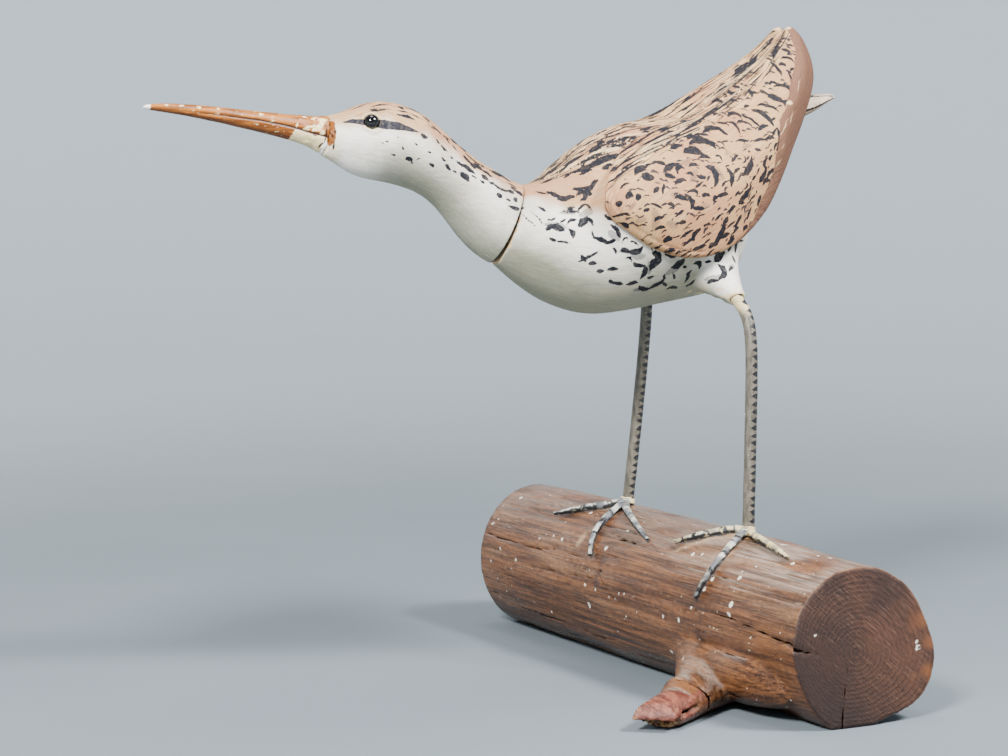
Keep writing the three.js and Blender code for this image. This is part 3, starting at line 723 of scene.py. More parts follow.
# Strokes on the wing's outer side: along, across, length, turn, bend, width
WING_MARKS = [
    (1, 11, 14, -38, 0.25, 3.2), (-11, 12, 14, -45, 0.25, 4.4), (-20, 13, 10, -40, 0.2, 4.2),
    (-8, 15, 8, -38, 0.2, 1.5), (-22, -2, 12, -112, 0.35, 3.6), (-28, 2, 5, -60, 0, 2.6),
    (-33, 0, 7, 176, 0, 1.7), (-40, 8, 8, -20, 0.1, 2.4), (-38, 16, 12, -10, 0.1, 3.2),
    (-53, 21, 6, -50, 0.2, 5.2), (-53, 26, 9, -2, 0.1, 3), (-66, 26, 8, -18, 0.1, 1.2),
    (-25, 20, 8, -30, 0.1, 3), (-30, 27, 14, -12, 0.05, 1.4), (-46, 24, 10, -12, 0.05, 1.3),
    (-55, 14, 5, -10, 0, 3), (-51, 12, 7, -140, 0.1, 1.8), (-69, 21, 4, -20, 0.2, 3.6),
    (-66, 17, 4, 20, 0.2, 3.4), (-76, 21, 3.5, 0, 0, 3), (-54, 3, 4, -60, 0.3, 2.2),
    (-44, -3, 9, -115, 0.3, 3.4), (-53, -4, 6, -10, 0.1, 2), (-66, -12, 5, -30, 0.1, 4),
    (-56, -16, 9, -7, 0.05, 2.2), (-57, -21, 8, -8, 0.1, 2.4), (-45, -13, 6, 2, 0, 1.3),
    (-35, -21, 6, 0, 0, 2), (-40, -30, 17, -157, 0.18, 4.2), (-47, -24, 6, 0, 0, 1.3),
    (-47, -28, 5, 5, 0, 1.3), (-53, -28, 9, -20, 0.1, 3), (-43, -20, 6, -10, 0, 1.6),
    (-31, -26, 4, -150, 0, 2.6), (-30, -30, 7, 177, 0, 1.8), (-25, -32, 9, -165, 0.1, 2.8),
    (-34, -38, 7, -170, 0.1, 3.4), (-38, -43, 7, -165, 0, 2.8), (-12, -23, 13, -173, 0.05, 3.2),
    (-9, -28, 6, -175, 0, 1.6), (-10, -19, 6, -145, 0.35, 1.6), (-1, -13, 14, -165, 0.1, 4),
    (5, -23, 10, -165, 0.1, 4), (3, -19, 6, -170, 0, 1.4), (-14, -9, 10, -120, 0.2, 3.2),
    (-20, -9, 5, -175, 0, 1.5), (-11, 2, 5, -70, 0.4, 1.5), (0, 4, 4, -20, 0.1, 1.6),
    (0, -8, 6, -145, 0.35, 1.5), (18, -9, 10, -42, 0.1, 2), (12, -11, 4, -60, 0, 2),
    (29, -17, 13, -140, 0.2, 3.6), (32, -3, 13, -80, 0.2, 4), (24, 0, 12, -78, 0.15, 1.9),
    (19, 3, 7, -42, 0.2, 1.6), (13, 5, 8, -90, 0.35, 2.3), (9, 10, 6, -45, 0.1, 2),
    (39, -2, 13, -55, 0.15, 2.1), (47, -2, 10, -55, 0.15, 4), (57, -2, 12, -64, 0.3, 2.6),
    (66, -1, 6, -140, 0.15, 2.2), (75, 5, 8, -50, 0.3, 2), (64, 6, 8, -120, 0.1, 2.4),
    (84, 8, 5, -40, 0.1, 1.5), (76, 12, 15, 12, 0.05, 2.2), (93, 13, 3, 0, 0, 2.6),
]
WING_WASHES = [
    (-31, 5, 9, -165, 0, 4), (-48, 4, 8, -60, 0.1, 4), (-66, 3, 12, -120, 0.1, 5), (-72, 7, 6, -30, 0, 3),
    (-60, -6, 7, -40, 0, 4), (-5, 0, 4, 0, 0, 3), (-72, 16, 4, 0, 0, 3), (-40, -10, 9, -30, 0, 4),
    (-18, -4, 8, -100, 0.1, 3), (8, -5, 6, -30, 0, 3), (-15, -30, 12, -150, 0, 3), (-28, 12, 8, -20, 0, 3),
]
# Blotches on the wing's inner side, scratches on its brown band and chips down to the wood, the same way
INNER_BLOTCHES = [
    (59, 9, 15, 14, 0.1, 3.6), (61, 6.5, 7, -10, 0, 3.4), (70, 9.5, 9, 12, 0, 3), (82, 11.5, 10, 10, 0, 2),
    (41, 8.5, 12, 16, 0.1, 4), (46, 5, 8, 10, 0, 2.2),
]
BAND_SCRATCHES = [
    (38, -15, 14, 10, 0, 1.2), (47, -15, 8, 25, 0, 0.9), (52, -9, 5, -30, 0.1, 2.4), (20, -27, 9, 5, 0, 1),
    (30, -22, 6, 12, 0, 0.8), (66, -8, 10, 20, 0, 0.7),
]
WING_CHIPS = [(94, 15, 4, 30, 0, 3.5), (52, -9, 4, -30, 0.1, 2)]
# The brown band's inner edge: along, across, and how much narrower it is on the wing's inner side
BAND_ALONG = (-45, -20, -2, 12, 20, 30, 38, 47, 61, 73, 83, 90, 98)
BAND_ACROSS = (-46, -41, -33, -29, -22, -17, -10, -9, -4, 0, 4, 12, 18)
INNER_BAND_CUT = 3
# The main lie of the small flecks: across, and their turn
FLECK_ACROSS = (-46, -25, -10, 5, 20, 30)
FLECK_TURN = (15, 10, -15, -45, -35, -15)
# Where commas and flecks lie, along and across, and where the streaks run, along
WING_AREA = ((-80, 92), (-46, 28))
WING_RUN = (-78, 96)
# The wing's middle, from which its outline is measured: along and across
WING_MIDDLE = (-5, -5)
# How far in from the wing's outline its rolled rim and the groove behind it lie
RIM_INSET = 2
GROOVE_INSET = 4.2


def wing_comma(hand, place, lengths, widths):
    """A short curved mark, turned as its neighbours are."""
    turn = float(np.interp(place[1], FLECK_ACROSS, FLECK_TURN)) + hand.uniform(-30, 30)
    return (*place, hand.uniform(*lengths), turn, hand.uniform(0.05, 0.35), hand.uniform(*widths))


def outline_inset(along, across):
    """How far each vertex lies in from the wing's outline, measured toward the wing's middle."""
    ahead, up = along - WING_MIDDLE[0], across - WING_MIDDLE[1]
    turn = np.degrees(np.arctan2(up, ahead)) + 180
    reach = np.hypot(ahead, up)
    everywhere = np.full(len(turn), True)
    return farthest_reach(turn, reach, everywhere, 90, 0)[1] - reach


def paint_wing(piece, side):
    points = points_of(piece)
    normals = normals_of(piece)
    along, across = wing_place(points)
    flat = wavy(pair(along, across), points)
    girth = girth_of(points, normals, side)
    reach = np.interp(along, CREST_ALONG, CREST_REACH)
    upper = ease(girth, -0.9 * reach - 3, -0.9 * reach + 3)
    outer = normals[:, 1] * side > 0.05
    hand = random.Random(40 + side)
    marks = WING_MARKS if side < 0 else loosened(WING_MARKS, 11, 3, 14)
    blotches = INNER_BLOTCHES if side > 0 else loosened(INNER_BLOTCHES, 12, 2, 8)
    large = partial(wing_comma, lengths=(3.5, 9), widths=(1.5, 2.8))
    marks = marks + between_marks(hand, marks, WING_AREA, 160, 4.6, large)
    small = partial(wing_comma, lengths=(1.8, 5.2), widths=(0.8, 1.4))
    flecks = between_marks(hand, marks, WING_AREA, 420, 1.9, small)
    down_crest = partial(streaks, pair(along, girth), hand, crest_edge, WING_RUN)
    dark_streaks = down_crest(count=130, lengths=(8, 30), widths=(1, 2))
    pale_streaks = down_crest(count=55, lengths=(12, 36), widths=(0.7, 1.4))
    below = (1 - upper) * UNPAINTED
    dark = np.where(outer, strokes(flat, marks), strokes(flat, blotches))
    scratches = only(outer, strokes(flat, BAND_SCRATCHES))
    keep(
        piece,
        marks=np.minimum(dark, dark_streaks + below),
        flecks=only(outer, strokes(flat, flecks)),
        slate=only(outer, strokes(flat, WING_WASHES)),
        pale_strokes=np.minimum(pale_streaks + below, scratches),
        band=across - np.interp(along, BAND_ALONG, BAND_ACROSS) + np.where(outer, 0, INNER_BAND_CUT),
        top=upper,
        chips=strokes(flat, WING_CHIPS),
    )
    keep_flow(piece, along, girth / reach)


def shape_wing(piece, side):
    """A rolled rim round the wing's front, and the marks of the knife."""
    points = points_of(piece)
    along, across = wing_place(points)
    outer = ease(normals_of(piece)[:, 1] * side, 0.05, 0.35)
    inset = outline_inset(along, across)
    front = ease(-along, 42, 56) * outer
    roll = 0.2 * ridge(inset, RIM_INSET, 1.6) - 0.45 * ridge(inset, GROOVE_INSET, 0.9)
    push(piece, cuts(points, (0.07, 0, 0.25), (0.35, 7, 0.07)) + front * roll)


def finish_piece(piece, material, node):
    piece.data.materials.append(material)
    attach(piece, "root")
    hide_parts(node)


def make_wing(side, material):
    name = SIDE_NAMES[side] + "_wing"
    piece = carve(name, name + "_carved", voxel=0.74, rounds=7)
    shape_wing(piece, side)
    paint_wing(piece, side)
    finish_piece(piece, material, name)


# Body and head

# Strokes on the flank: x, height above the hips, length, turn, bend, width
FLANK_MARKS = [
    (-115, 53, 5, -80, 0, 2.4), (-114, 45, 13, -48, 0.05, 1.5), (-109, 46, 10, -55, 0.05, 1.5),
    (-105, 51, 6, -35, 0, 2.8), (-96, 58, 7, -35, 0, 4), (-90, 57, 6, 5, 0, 3), (-83, 62, 9, 5, 0.1, 3.4),
    (-85, 52, 6, 35, 0.1, 2.6), (-82, 52, 5, -50, 0.1, 2.6), (-90, 49, 7, 0, 0, 2.8),
    (-94, 49, 4, -30, 0, 1.6), (-86, 43, 7, 30, 0.1, 3.2), (-82, 44, 6, -62, 0.1, 3.2),
    (-97, 44, 6, 20, 0, 2), (-100, 41, 9, -15, 0, 3), (-104, 40, 4, 0, 0, 2), (-92, 38, 6, -70, 0.2, 1.8),
    (-72, 46, 6, -30, 0.1, 3.2), (-69, 39, 9, -60, 0.1, 2), (-77, 34, 8, -25, 0.1, 2.6),
    (-72, 33, 7, 20, 0, 2), (-102, 34, 4, -20, 0, 1.8), (-97, 33, 8, -8, 0, 1.3), (-83, 25, 13, 28, 0, 1.8),
    (-86, 24, 5, -50, 0, 1.8), (-64, 28, 6, -10, 0.1, 2.6), (-58, 28, 8, 15, -0.2, 2.8),
    (-81, 21, 5, 0, 0, 2), (-76, 17, 4, 0, 0, 2), (-69, 18, 7, 5, 0, 2.4), (-55, 20, 7, -25, -0.1, 2.4),
    (-51, 16, 8, -95, 0.2, 2.8), (-45, 25, 7, -50, 0.2, 3.2), (-45, 20, 8, 45, 0.2, 4),
    (-69, 11, 4, -30, 0, 2), (-65, 10, 8, 0, 0, 1.8), (-56, 10, 7, 10, 0, 2), (-47, 7, 9, -8, -0.2, 2.6),
    (-40, 9, 10, 28, -0.1, 2.2), (-37, 13, 4, -60, 0, 1.6), (-30, 20, 9, 30, -0.1, 3.8),
    (-28, 6, 8, 8, 0.1, 1.6), (-21, 12, 6, -80, 0.1, 2), (-21, 15, 4, 30, 0, 1.5),
    (-17, 19, 6, -40, 0.3, 2.8), (-11, 21, 5, 0, 0, 1.2), (-5, 15, 9, -95, 0.35, 2.8),
    (-9, 10, 5, 10, 0, 1.8), (-4, 24, 9, 45, 0, 3.4), (3, 29, 6, 70, 0, 2.6), (8, 28, 7, -75, 0.1, 2.4),
    (1, 17, 5, 30, 0.1, 1.4), (6, 22, 5, -70, 0, 1.4), (-36, 26, 9, -10, 0, 4), (-24, 25, 7, 10, 0, 3),
    (14, 40, 6, 80, 0, 1.6), (18, 55, 7, 60, 0, 1.6), (12, 48, 5, 80, 0, 1.4), (22, 66, 6, 55, 0, 1.4),
]
FLANK_SMUDGES = [
    (-50, 6, 8, 0, 0, 3), (2, 18, 6, 10, 0, 3), (-92, 49, 9, 0, 0, 4), (-66, 10, 10, 0, 0, 3),
    (-100, 42, 12, -10, 0, 4), (-84, 48, 8, 20, 0, 4), (-70, 36, 8, -50, 0, 4), (-56, 25, 9, 0, 0, 4),
    (-48, 18, 8, -80, 0, 4), (-8, 12, 9, 10, 0, 3), (-33, 16, 9, 20, 0, 4),
]
# Glue spots on the thigh, in the same order
THIGH_GLUE = [
    (-1, 2, 2.4, 0, 0, 2), (-4, 1.4, 2, 30, 0, 1.6), (3.7, -0.6, 2.4, 0, 0, 2), (5.8, 2.3, 2, 60, 0, 1.6),
    (-6, 5.4, 2, 20, 0, 1.6), (-13, 3.8, 1.8, 0, 0, 1.4),
]
# Where the marks on the flank lie, and their lower edge: x, height above the hips
FLANK_AREA = ((-112, 12), (8, 50))
FLANK_EDGE_X = (-112, -90, -60, -40, -10, 12)
FLANK_EDGE_HEIGHT = (46, 36, 20, 8, 8, 20)
# Limits of the commas between the listed marks: length, turn, bend, width
FLANK_COMMA = ((3, 7), (-70, 40), (-0.2, 0.3), (1.2, 2.4))
NAPE_COMMA = ((3, 6.5), (-50, -25), (-0.1, 0.1), (1.1, 2.2))
# Marks below this height are painted broader than listed, those above it finer
SHOULDER_HEIGHT = 44
# Strokes on the side of the head and neck, in the same order
HEAD_MARKS = [
    (-175, 90, 4.5, -20, 0, 2.4), (-183, 101, 3, 0, 0, 1.8), (-195, 107, 6, 4, 0.1, 1.2),
    (-184, 105, 4, -25, 0, 1.1), (-170, 99.5, 6, -32, 0, 1.3), (-164.5, 93.5, 8, -42, 0, 1.6),
    (-154, 84, 5, -50, 0, 1.5), (-140, 74, 7, -32, 0, 3), (-127, 70, 6, -28, 0, 2.8),
    (-119, 64, 8, -25, 0, 1.3), (-197, 87.5, 2, 25, 0, 1), (-199, 86, 2, -20, 0, 1),
    (-191, 89.5, 1.5, 0, 0, 1), (-180, 85.5, 3, -15, 0, 1.1), (-188, 84, 3, -40, 0, 1.2),
    (-172, 81.5, 3, -40, 0, 1.2), (-193, 80.5, 4, -5, 0, 1.2), (-184, 78, 4.5, -5, 0, 2.6),
    (-182, 76.5, 2, -60, 0, 1.4), (-178, 78, 2.5, 15, 0, 1.3), (-170, 75, 4, -35, 0, 2.2),
    (-163, 78, 3.5, -35, 0, 1.5), (-162, 84, 6, -48, 0, 1.6), (-160, 74, 6, -35, 0, 1.9),
    (-157, 79, 3, -35, 0, 1.5), (-152, 75, 6, -38, 0, 1.7), (-147, 72.5, 9, -32, 0, 3.2),
    (-150, 68.5, 7, -35, 0, 3.6), (-144, 75, 6, -42, 0, 1.9), (-137, 68, 5, -30, 0, 2.4),
    (-139, 66, 4, -30, 0, 1.7), (-134, 70, 4, -40, 0, 1.5), (-130, 63, 5, -25, 0, 1.4),
    (-126, 61, 6, -15, 0, 1.5), (-121, 60, 5, -15, 0, 1.9), (-130, 58.5, 5, -50, 0, 2.8),
    (-119, 56, 3, -20, 0, 2.2), (-121, 51.5, 7, -15, 0, 2.6), (-156, 71, 3, -40, 0, 1.4),
    (-144, 68, 4, -30, 0, 1.4), (-133, 65, 4, -30, 0, 2), (-124, 56, 4, -25, 0, 1.4),
    (-166, 87, 3, -45, 0, 1.3), (-158, 88, 4, -45, 0, 1.2),
]
EYE_STRIPE = [(-217.5, 97.6), (-212, 98), (-205, 97), (-197, 96.2), (-190, 95.4), (-184, 94), (-177.5, 92)]
EYE_STRIPE_HALVES = [0.3, 1.2, 1.9, 2.5, 2.1, 1.3, 0.1]
# Where the buff of the crown and back ends on the side: x, height above the hips
BUFF_X = (-226, -212, -195, -178, -160, -140, -120, -105, -90, -70, -40, 0, 40, 60)
BUFF_HEIGHT = (95, 97, 97, 92, 84, 71, 60, 56, 51, 46, 44, 50, 78, 88)
# Long strokes over the hump, from above: x, distance from the middle, half width
LONG_PALE = [(-93, 5, 0.7), (-78, 14, 1.1), (-66, 19.5, 1.2), (-57, 23, 1)]
LONG_DARK = [(-84, 16, 0.4), (-76, 20.5, 1.6), (-65, 24, 1.8), (-58, 27, 0.5)]
# Strokes on the mantle, from above: x, distance to the left, length, turn, bend, width
MANTLE_MARKS = [
    (-66, 5, 12, 18, 0.05, 2.6), (-67, 14, 7, 20, 0.1, 4), (-79, 8, 10, 25, 0.1, 3),
    (-89, 1, 10, 15, 0, 2.6), (-60, 16, 3, 0, 0, 2.4), (-52, 9, 14, 12, 0.05, 2), (-43, 5, 9, 5, 0, 3),
    (-38, 18, 7, 10, 0, 3), (-84, 27, 6, 20, 0, 1.6), (-93, 24, 7, 25, 0, 2), (-102, 16, 8, 35, 0, 1.8),
    (-78, 28, 8, 10, 0, 2.2), (-72, 8, 7, 20, 0, 1.4), (-95, 9, 8, 30, 0, 1.4), (-74, 1, 8, 5, 0, 2),
    (-56, 2, 9, 5, 0, 2),
]
MANTLE_AREA = ((-100, -20), (-36, 36))
# A surface that faces up more than this carries no marks of the sides
TOP_FACING = 0.86
# The height round which the brush runs on the body's sides, and where the tail starts
BODY_MIDDLE = 28
TAIL_START = 48


def side_places(points, waver=0.5):
    """Places seen from the side, a little adrift: x and height above the hips."""
    return wavy(pair(points[:, 0], points[:, 2] - HIP_HEIGHT), points, waver)


def on_each_side(piece, marks, seed):
    """Marks on the left side as listed, and the same on the right as another pass of the hand."""
    points = points_of(piece)
    flat = side_places(points)
    left = strokes(flat, marks)
    right = strokes(flat, loosened(marks, seed, 2.5, 12))
    return only(normals_of(piece)[:, 2] <= TOP_FACING, np.where(points[:, 1] < 0, left, right))


def buff_share(points):
    edge = np.interp(points[:, 0], BUFF_X, BUFF_HEIGHT)
    height = points[:, 2] - HIP_HEIGHT + rough(points, 0.12) * 4
    return ease(height, edge - 6, edge + 5)


def behind_neck_joint(points):
    """How far behind the neck joint's plane a point lies."""
    rise = points[:, 2] - HIP_HEIGHT - NECK_JOINT_TOP[1]
    slant = (NECK_JOINT_TOP[0] - NECK_JOINT_BOTTOM[0]) / (NECK_JOINT_TOP[1] - NECK_JOINT_BOTTOM[1])
    joint = NECK_JOINT_TOP[0] + rise * slant + points[:, 1] * NECK_JOINT_SKEW
    return (points[:, 0] - joint) / math.hypot(1, slant)


def comma(hand, place, limits):
    """A short mark at a place. Its length, turn, bend and width are each drawn between their limits."""
    return (*place, *(hand.uniform(*ends) for ends in limits))


def mantle_comma(hand, place):
    """A mark that points away from the neck."""
    turn = math.degrees(math.atan2(place[1], 170 + place[0])) + hand.uniform(-12, 12)
    return (*place, hand.uniform(3, 8), turn, hand.uniform(-0.1, 0.1), hand.uniform(1.2, 2.6))


def tail_lines(points, normals):
    """Thin lines down the tail, and a dark one along each lower edge."""
    x, y, z = points.T
    up = normals[:, 2]
    hand = random.Random(61)
    field = unpainted(points)
    for _ in range(30):
        start, out = hand.uniform(TAIL_START, 78), hand.uniform(-12, 12)
        sweep(field, pair(x, y), [(start, out), (start + hand.uniform(12, 34), out * 0.75)], [0.5, 0.15])
    edge = np.abs(up + 0.25) - 0.22
    return np.minimum(only(np.abs(up) > 0.45, field), only(x > 62, edge * 4))


def flank_marks(piece, hand):
    """The listed marks, broad low down and fine on the shoulder, with commas in their gaps."""
    added = between_marks(hand, FLANK_MARKS, FLANK_AREA, 60, 4.5, partial(comma, limits=FLANK_COMMA))
    added = [mark for mark in added if mark[1] > np.interp(mark[0], FLANK_EDGE_X, FLANK_EDGE_HEIGHT)]
    listed = [(*mark[:5], mark[5] * (1.25 if mark[1] < SHOULDER_HEIGHT else 0.62)) for mark in FLANK_MARKS]
    return on_each_side(piece, listed + added, 5)


def mantle_marks(points, hand):
    """The dark and the pale strokes on the hump and mantle, seen from above."""
    above = pair(points[:, 0], points[:, 1])
    mirrored = pair(points[:, 0], -points[:, 1])
    dark_streaks = streaks(above, hand, fan_edge, (-102, -6), 105, (6, 24), (0.6, 1.5))
    flecks = between_marks(hand, MANTLE_MARKS, MANTLE_AREA, 90, 3.5, mantle_comma)
    dark = np.minimum.reduce([
        dark_streaks,
        strokes(wavy(mirrored, points), MANTLE_MARKS),
        strokes(wavy(above, points), loosened(MANTLE_MARKS, 9, 2, 10) + flecks),
    ])
    pale = streaks(above, hand, fan_edge, (-102, -10), 55, (10, 30), (0.8, 1.6))
    for side in (-1, 1):
        for rows, field in ((LONG_PALE, pale), (LONG_DARK, dark)):
            spine = [(x, side * out) for x, out, half in rows]
            sweep(field, above, spine, [half for x, out, half in rows])
    return dark, pale


def paint_body(piece):
    points = points_of(piece)
    normals = normals_of(piece)
    x, y, z = points.T
    height = z - HIP_HEIGHT
    up = normals[:, 2]
    hand = random.Random(21)
    flank = flank_marks(piece, hand)
    mantle, pale = mantle_marks(points, hand)
    on_top = (up > 0.4) & (height > 50) & (x < 30)
    dark = np.minimum(flank, only(on_top, mantle))
    tail = ease(x, 52, 60)
    # The low breast, which also takes the painted shade
    front = ease(-x, 70, 125) * ease(-height, -48, -22)
    fan = np.interp(x, FAN_X, FAN_WIDTH)
    back = ease(fan * 1.1 - np.abs(y), 0, 4) * ease(height, 50, 60) * (1 - tail)
    glue = ease(rough(points, 0.12, 4), -0.35, 0.2)
    joint = behind_neck_joint(points) + rough(points, 0.3, 3) * 1.2
    keep(
        piece,
        marks=np.where(x > TAIL_START, tail_lines(points, normals), dark),
        pale_strokes=np.where(on_top, pale, on_each_side(piece, THIGH_GLUE, 17)),
        slate=only(x <= TAIL_START, on_each_side(piece, FLANK_SMUDGES, 6)),
        stripe=unpainted(points),
        filler=unpainted(points),
        pits=unpainted(points),
        buff=np.maximum(buff_share(points) * (1 - tail), tail * 0.6),
        # Painted shade: darker green-grey where the body faces down and on the low breast
        under=np.clip(ease(-up, -0.1, 0.8) * 0.9 + front * 0.6, 0, 0.92),
        top=np.maximum(back, tail * 0.35),
        cream=ease(-height, -10, -2) * ease(np.abs(y), 26, 42) * glue * 0.85,
        bare=ease(-joint, -0.8, -0.3) * (height < 46),
    )
    round_side = np.arctan2(y, height - BODY_MIDDLE) * 1.8
    keep_flow(piece, x - height * 0.4, np.where(up > 0.5, y / fan, round_side))


def shape_body(piece):
    """Marks of the knife, and lumps of glue where the legs enter the thighs."""
    points = points_of(piece)
    x, y, z = points.T
    glue = ease(HIP_HEIGHT - z, -9, -1) * ease(np.abs(y), 28, 42)
    lumps = rough(points, 0.25, 12) * 0.5
    push(piece, cuts(points, (0.06, 3, 0.3), (0.3, 9, 0.07)) + glue * lumps)


def make_body(material):
    piece = carve("body", "body_carved", voxel=0.92, rounds=8)
    shape_body(piece)
    paint_body(piece)
    finish_piece(piece, material, "body")


def eye_distance(points):
    return np.hypot(points[:, 0] - EYE_CENTRE[0], points[:, 2] - EYE_CENTRE[2])


def shape_head(piece):
    """A raised lid round each eye, and the marks of the knife."""
    points = points_of(piece)
    lid = ridge(eye_distance(points) - EYE_RADIUS, 0.6, 0.9) * (np.abs(points[:, 1]) > 8)
    push(piece, cuts(points, (0.08, 5, 0.2), (0.35, 2, 0.05)) + lid * 0.6)


# The middle line of head and neck: x, height above the hips
NECK_X = (-222, -200, -160, -115)
NECK_MIDDLE = (92, 90, 66, 42)
# Where the nape's marks lie, their lower edge and how far above it they reach: x, height above the hips
NAPE_AREA = ((-170, -114), (50, 96))
NAPE_X = (-172, -114)
NAPE_HEIGHT = (78, 50)
NAPE_REACH = 20
# The streaks on the crown and the back of the neck: where they run along x, and how far out
CROWN_RUN = (-218, -112)
CROWN_HALF_WIDTH = 15.0
# The open joint below the neck: height above the hips, and how wide the painted shadow of the gap is there
GAP_HEIGHT = (12, 30, 50, 62)
GAP_SHADE_WIDTH = (3.4, 2.4, 1.1, -2)
# Wear round the bill's base, on bill and face alike: x, height above the hips, length, turn, bend, width
FILLER_PATCH = [(-223.6, 94, 7, 75, 0.1, 5), (-224.4, 89.5, 8, 95, -0.1, 4), (-222.8, 91.5, 4, 60, 0, 2.2)]
FACE_PITS = [(-223.6, 90.5, 3, -60, 0, 0.7), (-222, 92.5, 2.4, 30, 0, 1.1), (-222.9, 85, 4, 85, 0, 1.1)]
BILL_PITS = [(-226.6, 91, 9, 86, 0, 1.1), (-229, 85, 5, 50, 0, 1), (-233, 91.2, 3, -20, 0, 1.2)]
CREAM_PATCHES = [
    (-231, 95, 8, 35, 0, 3.4), (-229, 91.6, 5, 80, 0, 2.4), (-235, 95.5, 5, 10, 0, 1.8),
    (-238, 94, 4, -10, 0, 1.2), (-236.8, 100.2, 3, 0, 0, 1.5), (-232, 99.1, 3.4, 5, 0, 1.7),
    (-243, 96.2, 3, 60, 0, 1.4), (-227.5, 98.5, 5, 10, 0, 1.8), (-273, 103.8, 2.4, 0, 0, 1.1),
    (-262, 101.8, 2, 0, 0, 1.1), (-295.6, 104.6, 3, 0, 0, 1.3), (-306, 105.6, 2.6, 0, 0, 1.2),
    (-314, 106.6, 3, 0, 0, 1.3), (-257, 97.6, 3, 20, 0, 1), (-285, 104, 2, 0, 0, 0.9),
    (-250, 102.4, 2, 0, 0, 1),
]


def eye_stripe(points):
    field = unpainted(points)
    sweep(field, side_places(points, 0.2), EYE_STRIPE, EYE_STRIPE_HALVES)
    return field


def paint_head(piece):
    points = points_of(piece)
    x, y, z = points.T
    height = z - HIP_HEIGHT
    up = normals_of(piece)[:, 2]
    hand = random.Random(31)
    crown = streaks(pair(x, y), hand, lambda place: CROWN_HALF_WIDTH, CROWN_RUN, 110, (4, 14), (0.6, 1.3))
    added = between_marks(hand, HEAD_MARKS, NAPE_AREA, 40, 3.4, partial(comma, limits=NAPE_COMMA))
    added = [mark for mark in added if 0 < mark[1] - np.interp(mark[0], NAPE_X, NAPE_HEIGHT) < NAPE_REACH]
    # Painted shadow of the open neck joint, along the head's rear edge
    gap = -behind_neck_joint(points) - np.interp(height, GAP_HEIGHT, GAP_SHADE_WIDTH)
    rim = ease(-eye_distance(points), -EYE_RADIUS - 1.5, -EYE_RADIUS - 0.9) * (np.abs(y) > 8)
    low_face = ease(-x, 217, 223) * ease(-height, -94, -86)
    keep(
        piece,
        marks=np.minimum(on_each_side(piece, HEAD_MARKS + added, 7), only(up > 0.5, crown)),
        stripe=only(up <= TOP_FACING, eye_stripe(points)),
        slate=unpainted(points),
        pale_strokes=unpainted(points),
        filler=on_each_side(piece, FILLER_PATCH, 13),
        # Pits, and painted shadow of the open neck joint
        pits=np.minimum(gap, on_each_side(piece, FACE_PITS, 14)),
        buff=buff_share(points),
        # Painted shade under the throat, where the head faces down
        under=ease(-up, -0.35, 0.75) * ease(x, -218, -180) * 0.9,
        top=ease(up, 0.35, 0.75) * 0.45,
        cream=np.maximum(rim * 0.55, low_face * 0.5),
        bare=np.zeros(len(points)),
    )
    middle = np.interp(x, NECK_X, NECK_MIDDLE)
    keep_flow(piece, x - height * 0.5, np.arctan2(y, height - middle))


def make_head(material):
    piece = carve("head_and_neck", "head_and_neck_carved", voxel=0.7, rounds=5)
    shape_head(piece)
    paint_head(piece)
    finish_piece(piece, material, "head_and_neck")


def make_eye(side, material):
    """A glass ball, cut flat where the socket hides it."""
    name = SIDE_NAMES[side] + "_eye"
    bpy.ops.object.select_all(action="DESELECT")
    centre = Vector((EYE_CENTRE[0], side * EYE_CENTRE[1], EYE_CENTRE[2])) * MM
    bpy.ops.mesh.primitive_uv_sphere_add(segments=64, ring_count=32, radius=EYE_RADIUS * MM, location=centre)
    piece = bpy.context.object
    piece.name = name + "_glass"
    bpy.ops.object.mode_set(mode="EDIT")
    bpy.ops.mesh.select_all(action="SELECT")
    hidden = centre - Vector((0, side * EYE_RADIUS * 0.6 * MM, 0))
    bpy.ops.mesh.bisect(plane_co=hidden, plane_no=(0, -side, 0), use_fill=True, clear_outer=True)
    bpy.ops.object.mode_set(mode="OBJECT")
    bpy.ops.object.transform_apply(location=True, rotation=True, scale=True)
    bpy.ops.object.shade_smooth_by_angle(angle=math.radians(40))
    finish_piece(piece, material, name)


# Bill

# The mouth's line on the side of the bill: x, height above the hips, and the x past which the tip is white
MOUTH_X = (-325, -290, -262, -249, -242, -235, -227, -223)
MOUTH_HEIGHT = (104.6, 101.5, 98.2, 95.8, 94, 92, 90, 88.6)
WHITE_TIP_START = -322


def above_mouth(points):
    return points[:, 2] - HIP_HEIGHT - np.interp(points[:, 0], MOUTH_X, MOUTH_HEIGHT)


def shape_bill(piece):
    """The groove of the mouth, the marks of the knife and the wear at the base."""
    points = points_of(piece)
    x = points[:, 0]
    groove = ridge(above_mouth(points), 0, 0.55) * ease(x, -318, -270)
    knife = cuts(points, ((0.1, 0.3, 0.3), 0, 0.12), ((0.5, 0.6, 0.6), 4, 0.06))
    worn = ease(x, -246, -236) * rough(points, (0.35, 0.5, 0.5), 8) * 0.3
    push(piece, knife - groove * 0.7 + worn)


def paint_bill(piece):
    """Cream patches and a cream lower half at the base, a white tip, and the dark line of the mouth."""
    points = points_of(piece)
    x = points[:, 0]
    off = above_mouth(points)
    lower = np.maximum(off + 0.6, -243.5 - x + off * 0.4)
    mouth = np.abs(off) - 0.45 * ease(x, -312, -262)
    keep(
        piece,
        pale_strokes=np.minimum(on_each_side(piece, CREAM_PATCHES, 15), lower),
        white=np.minimum(x - WHITE_TIP_START, np.maximum(off + 2.5, -228.5 - x)),
        filler=on_each_side(piece, FILLER_PATCH, 13),
        pits=np.minimum(mouth, on_each_side(piece, BILL_PITS, 16)),
        # Painted shade where the bill faces down
        under=ease(-normals_of(piece)[:, 2], 0.1, 0.7) * 0.7,
    )


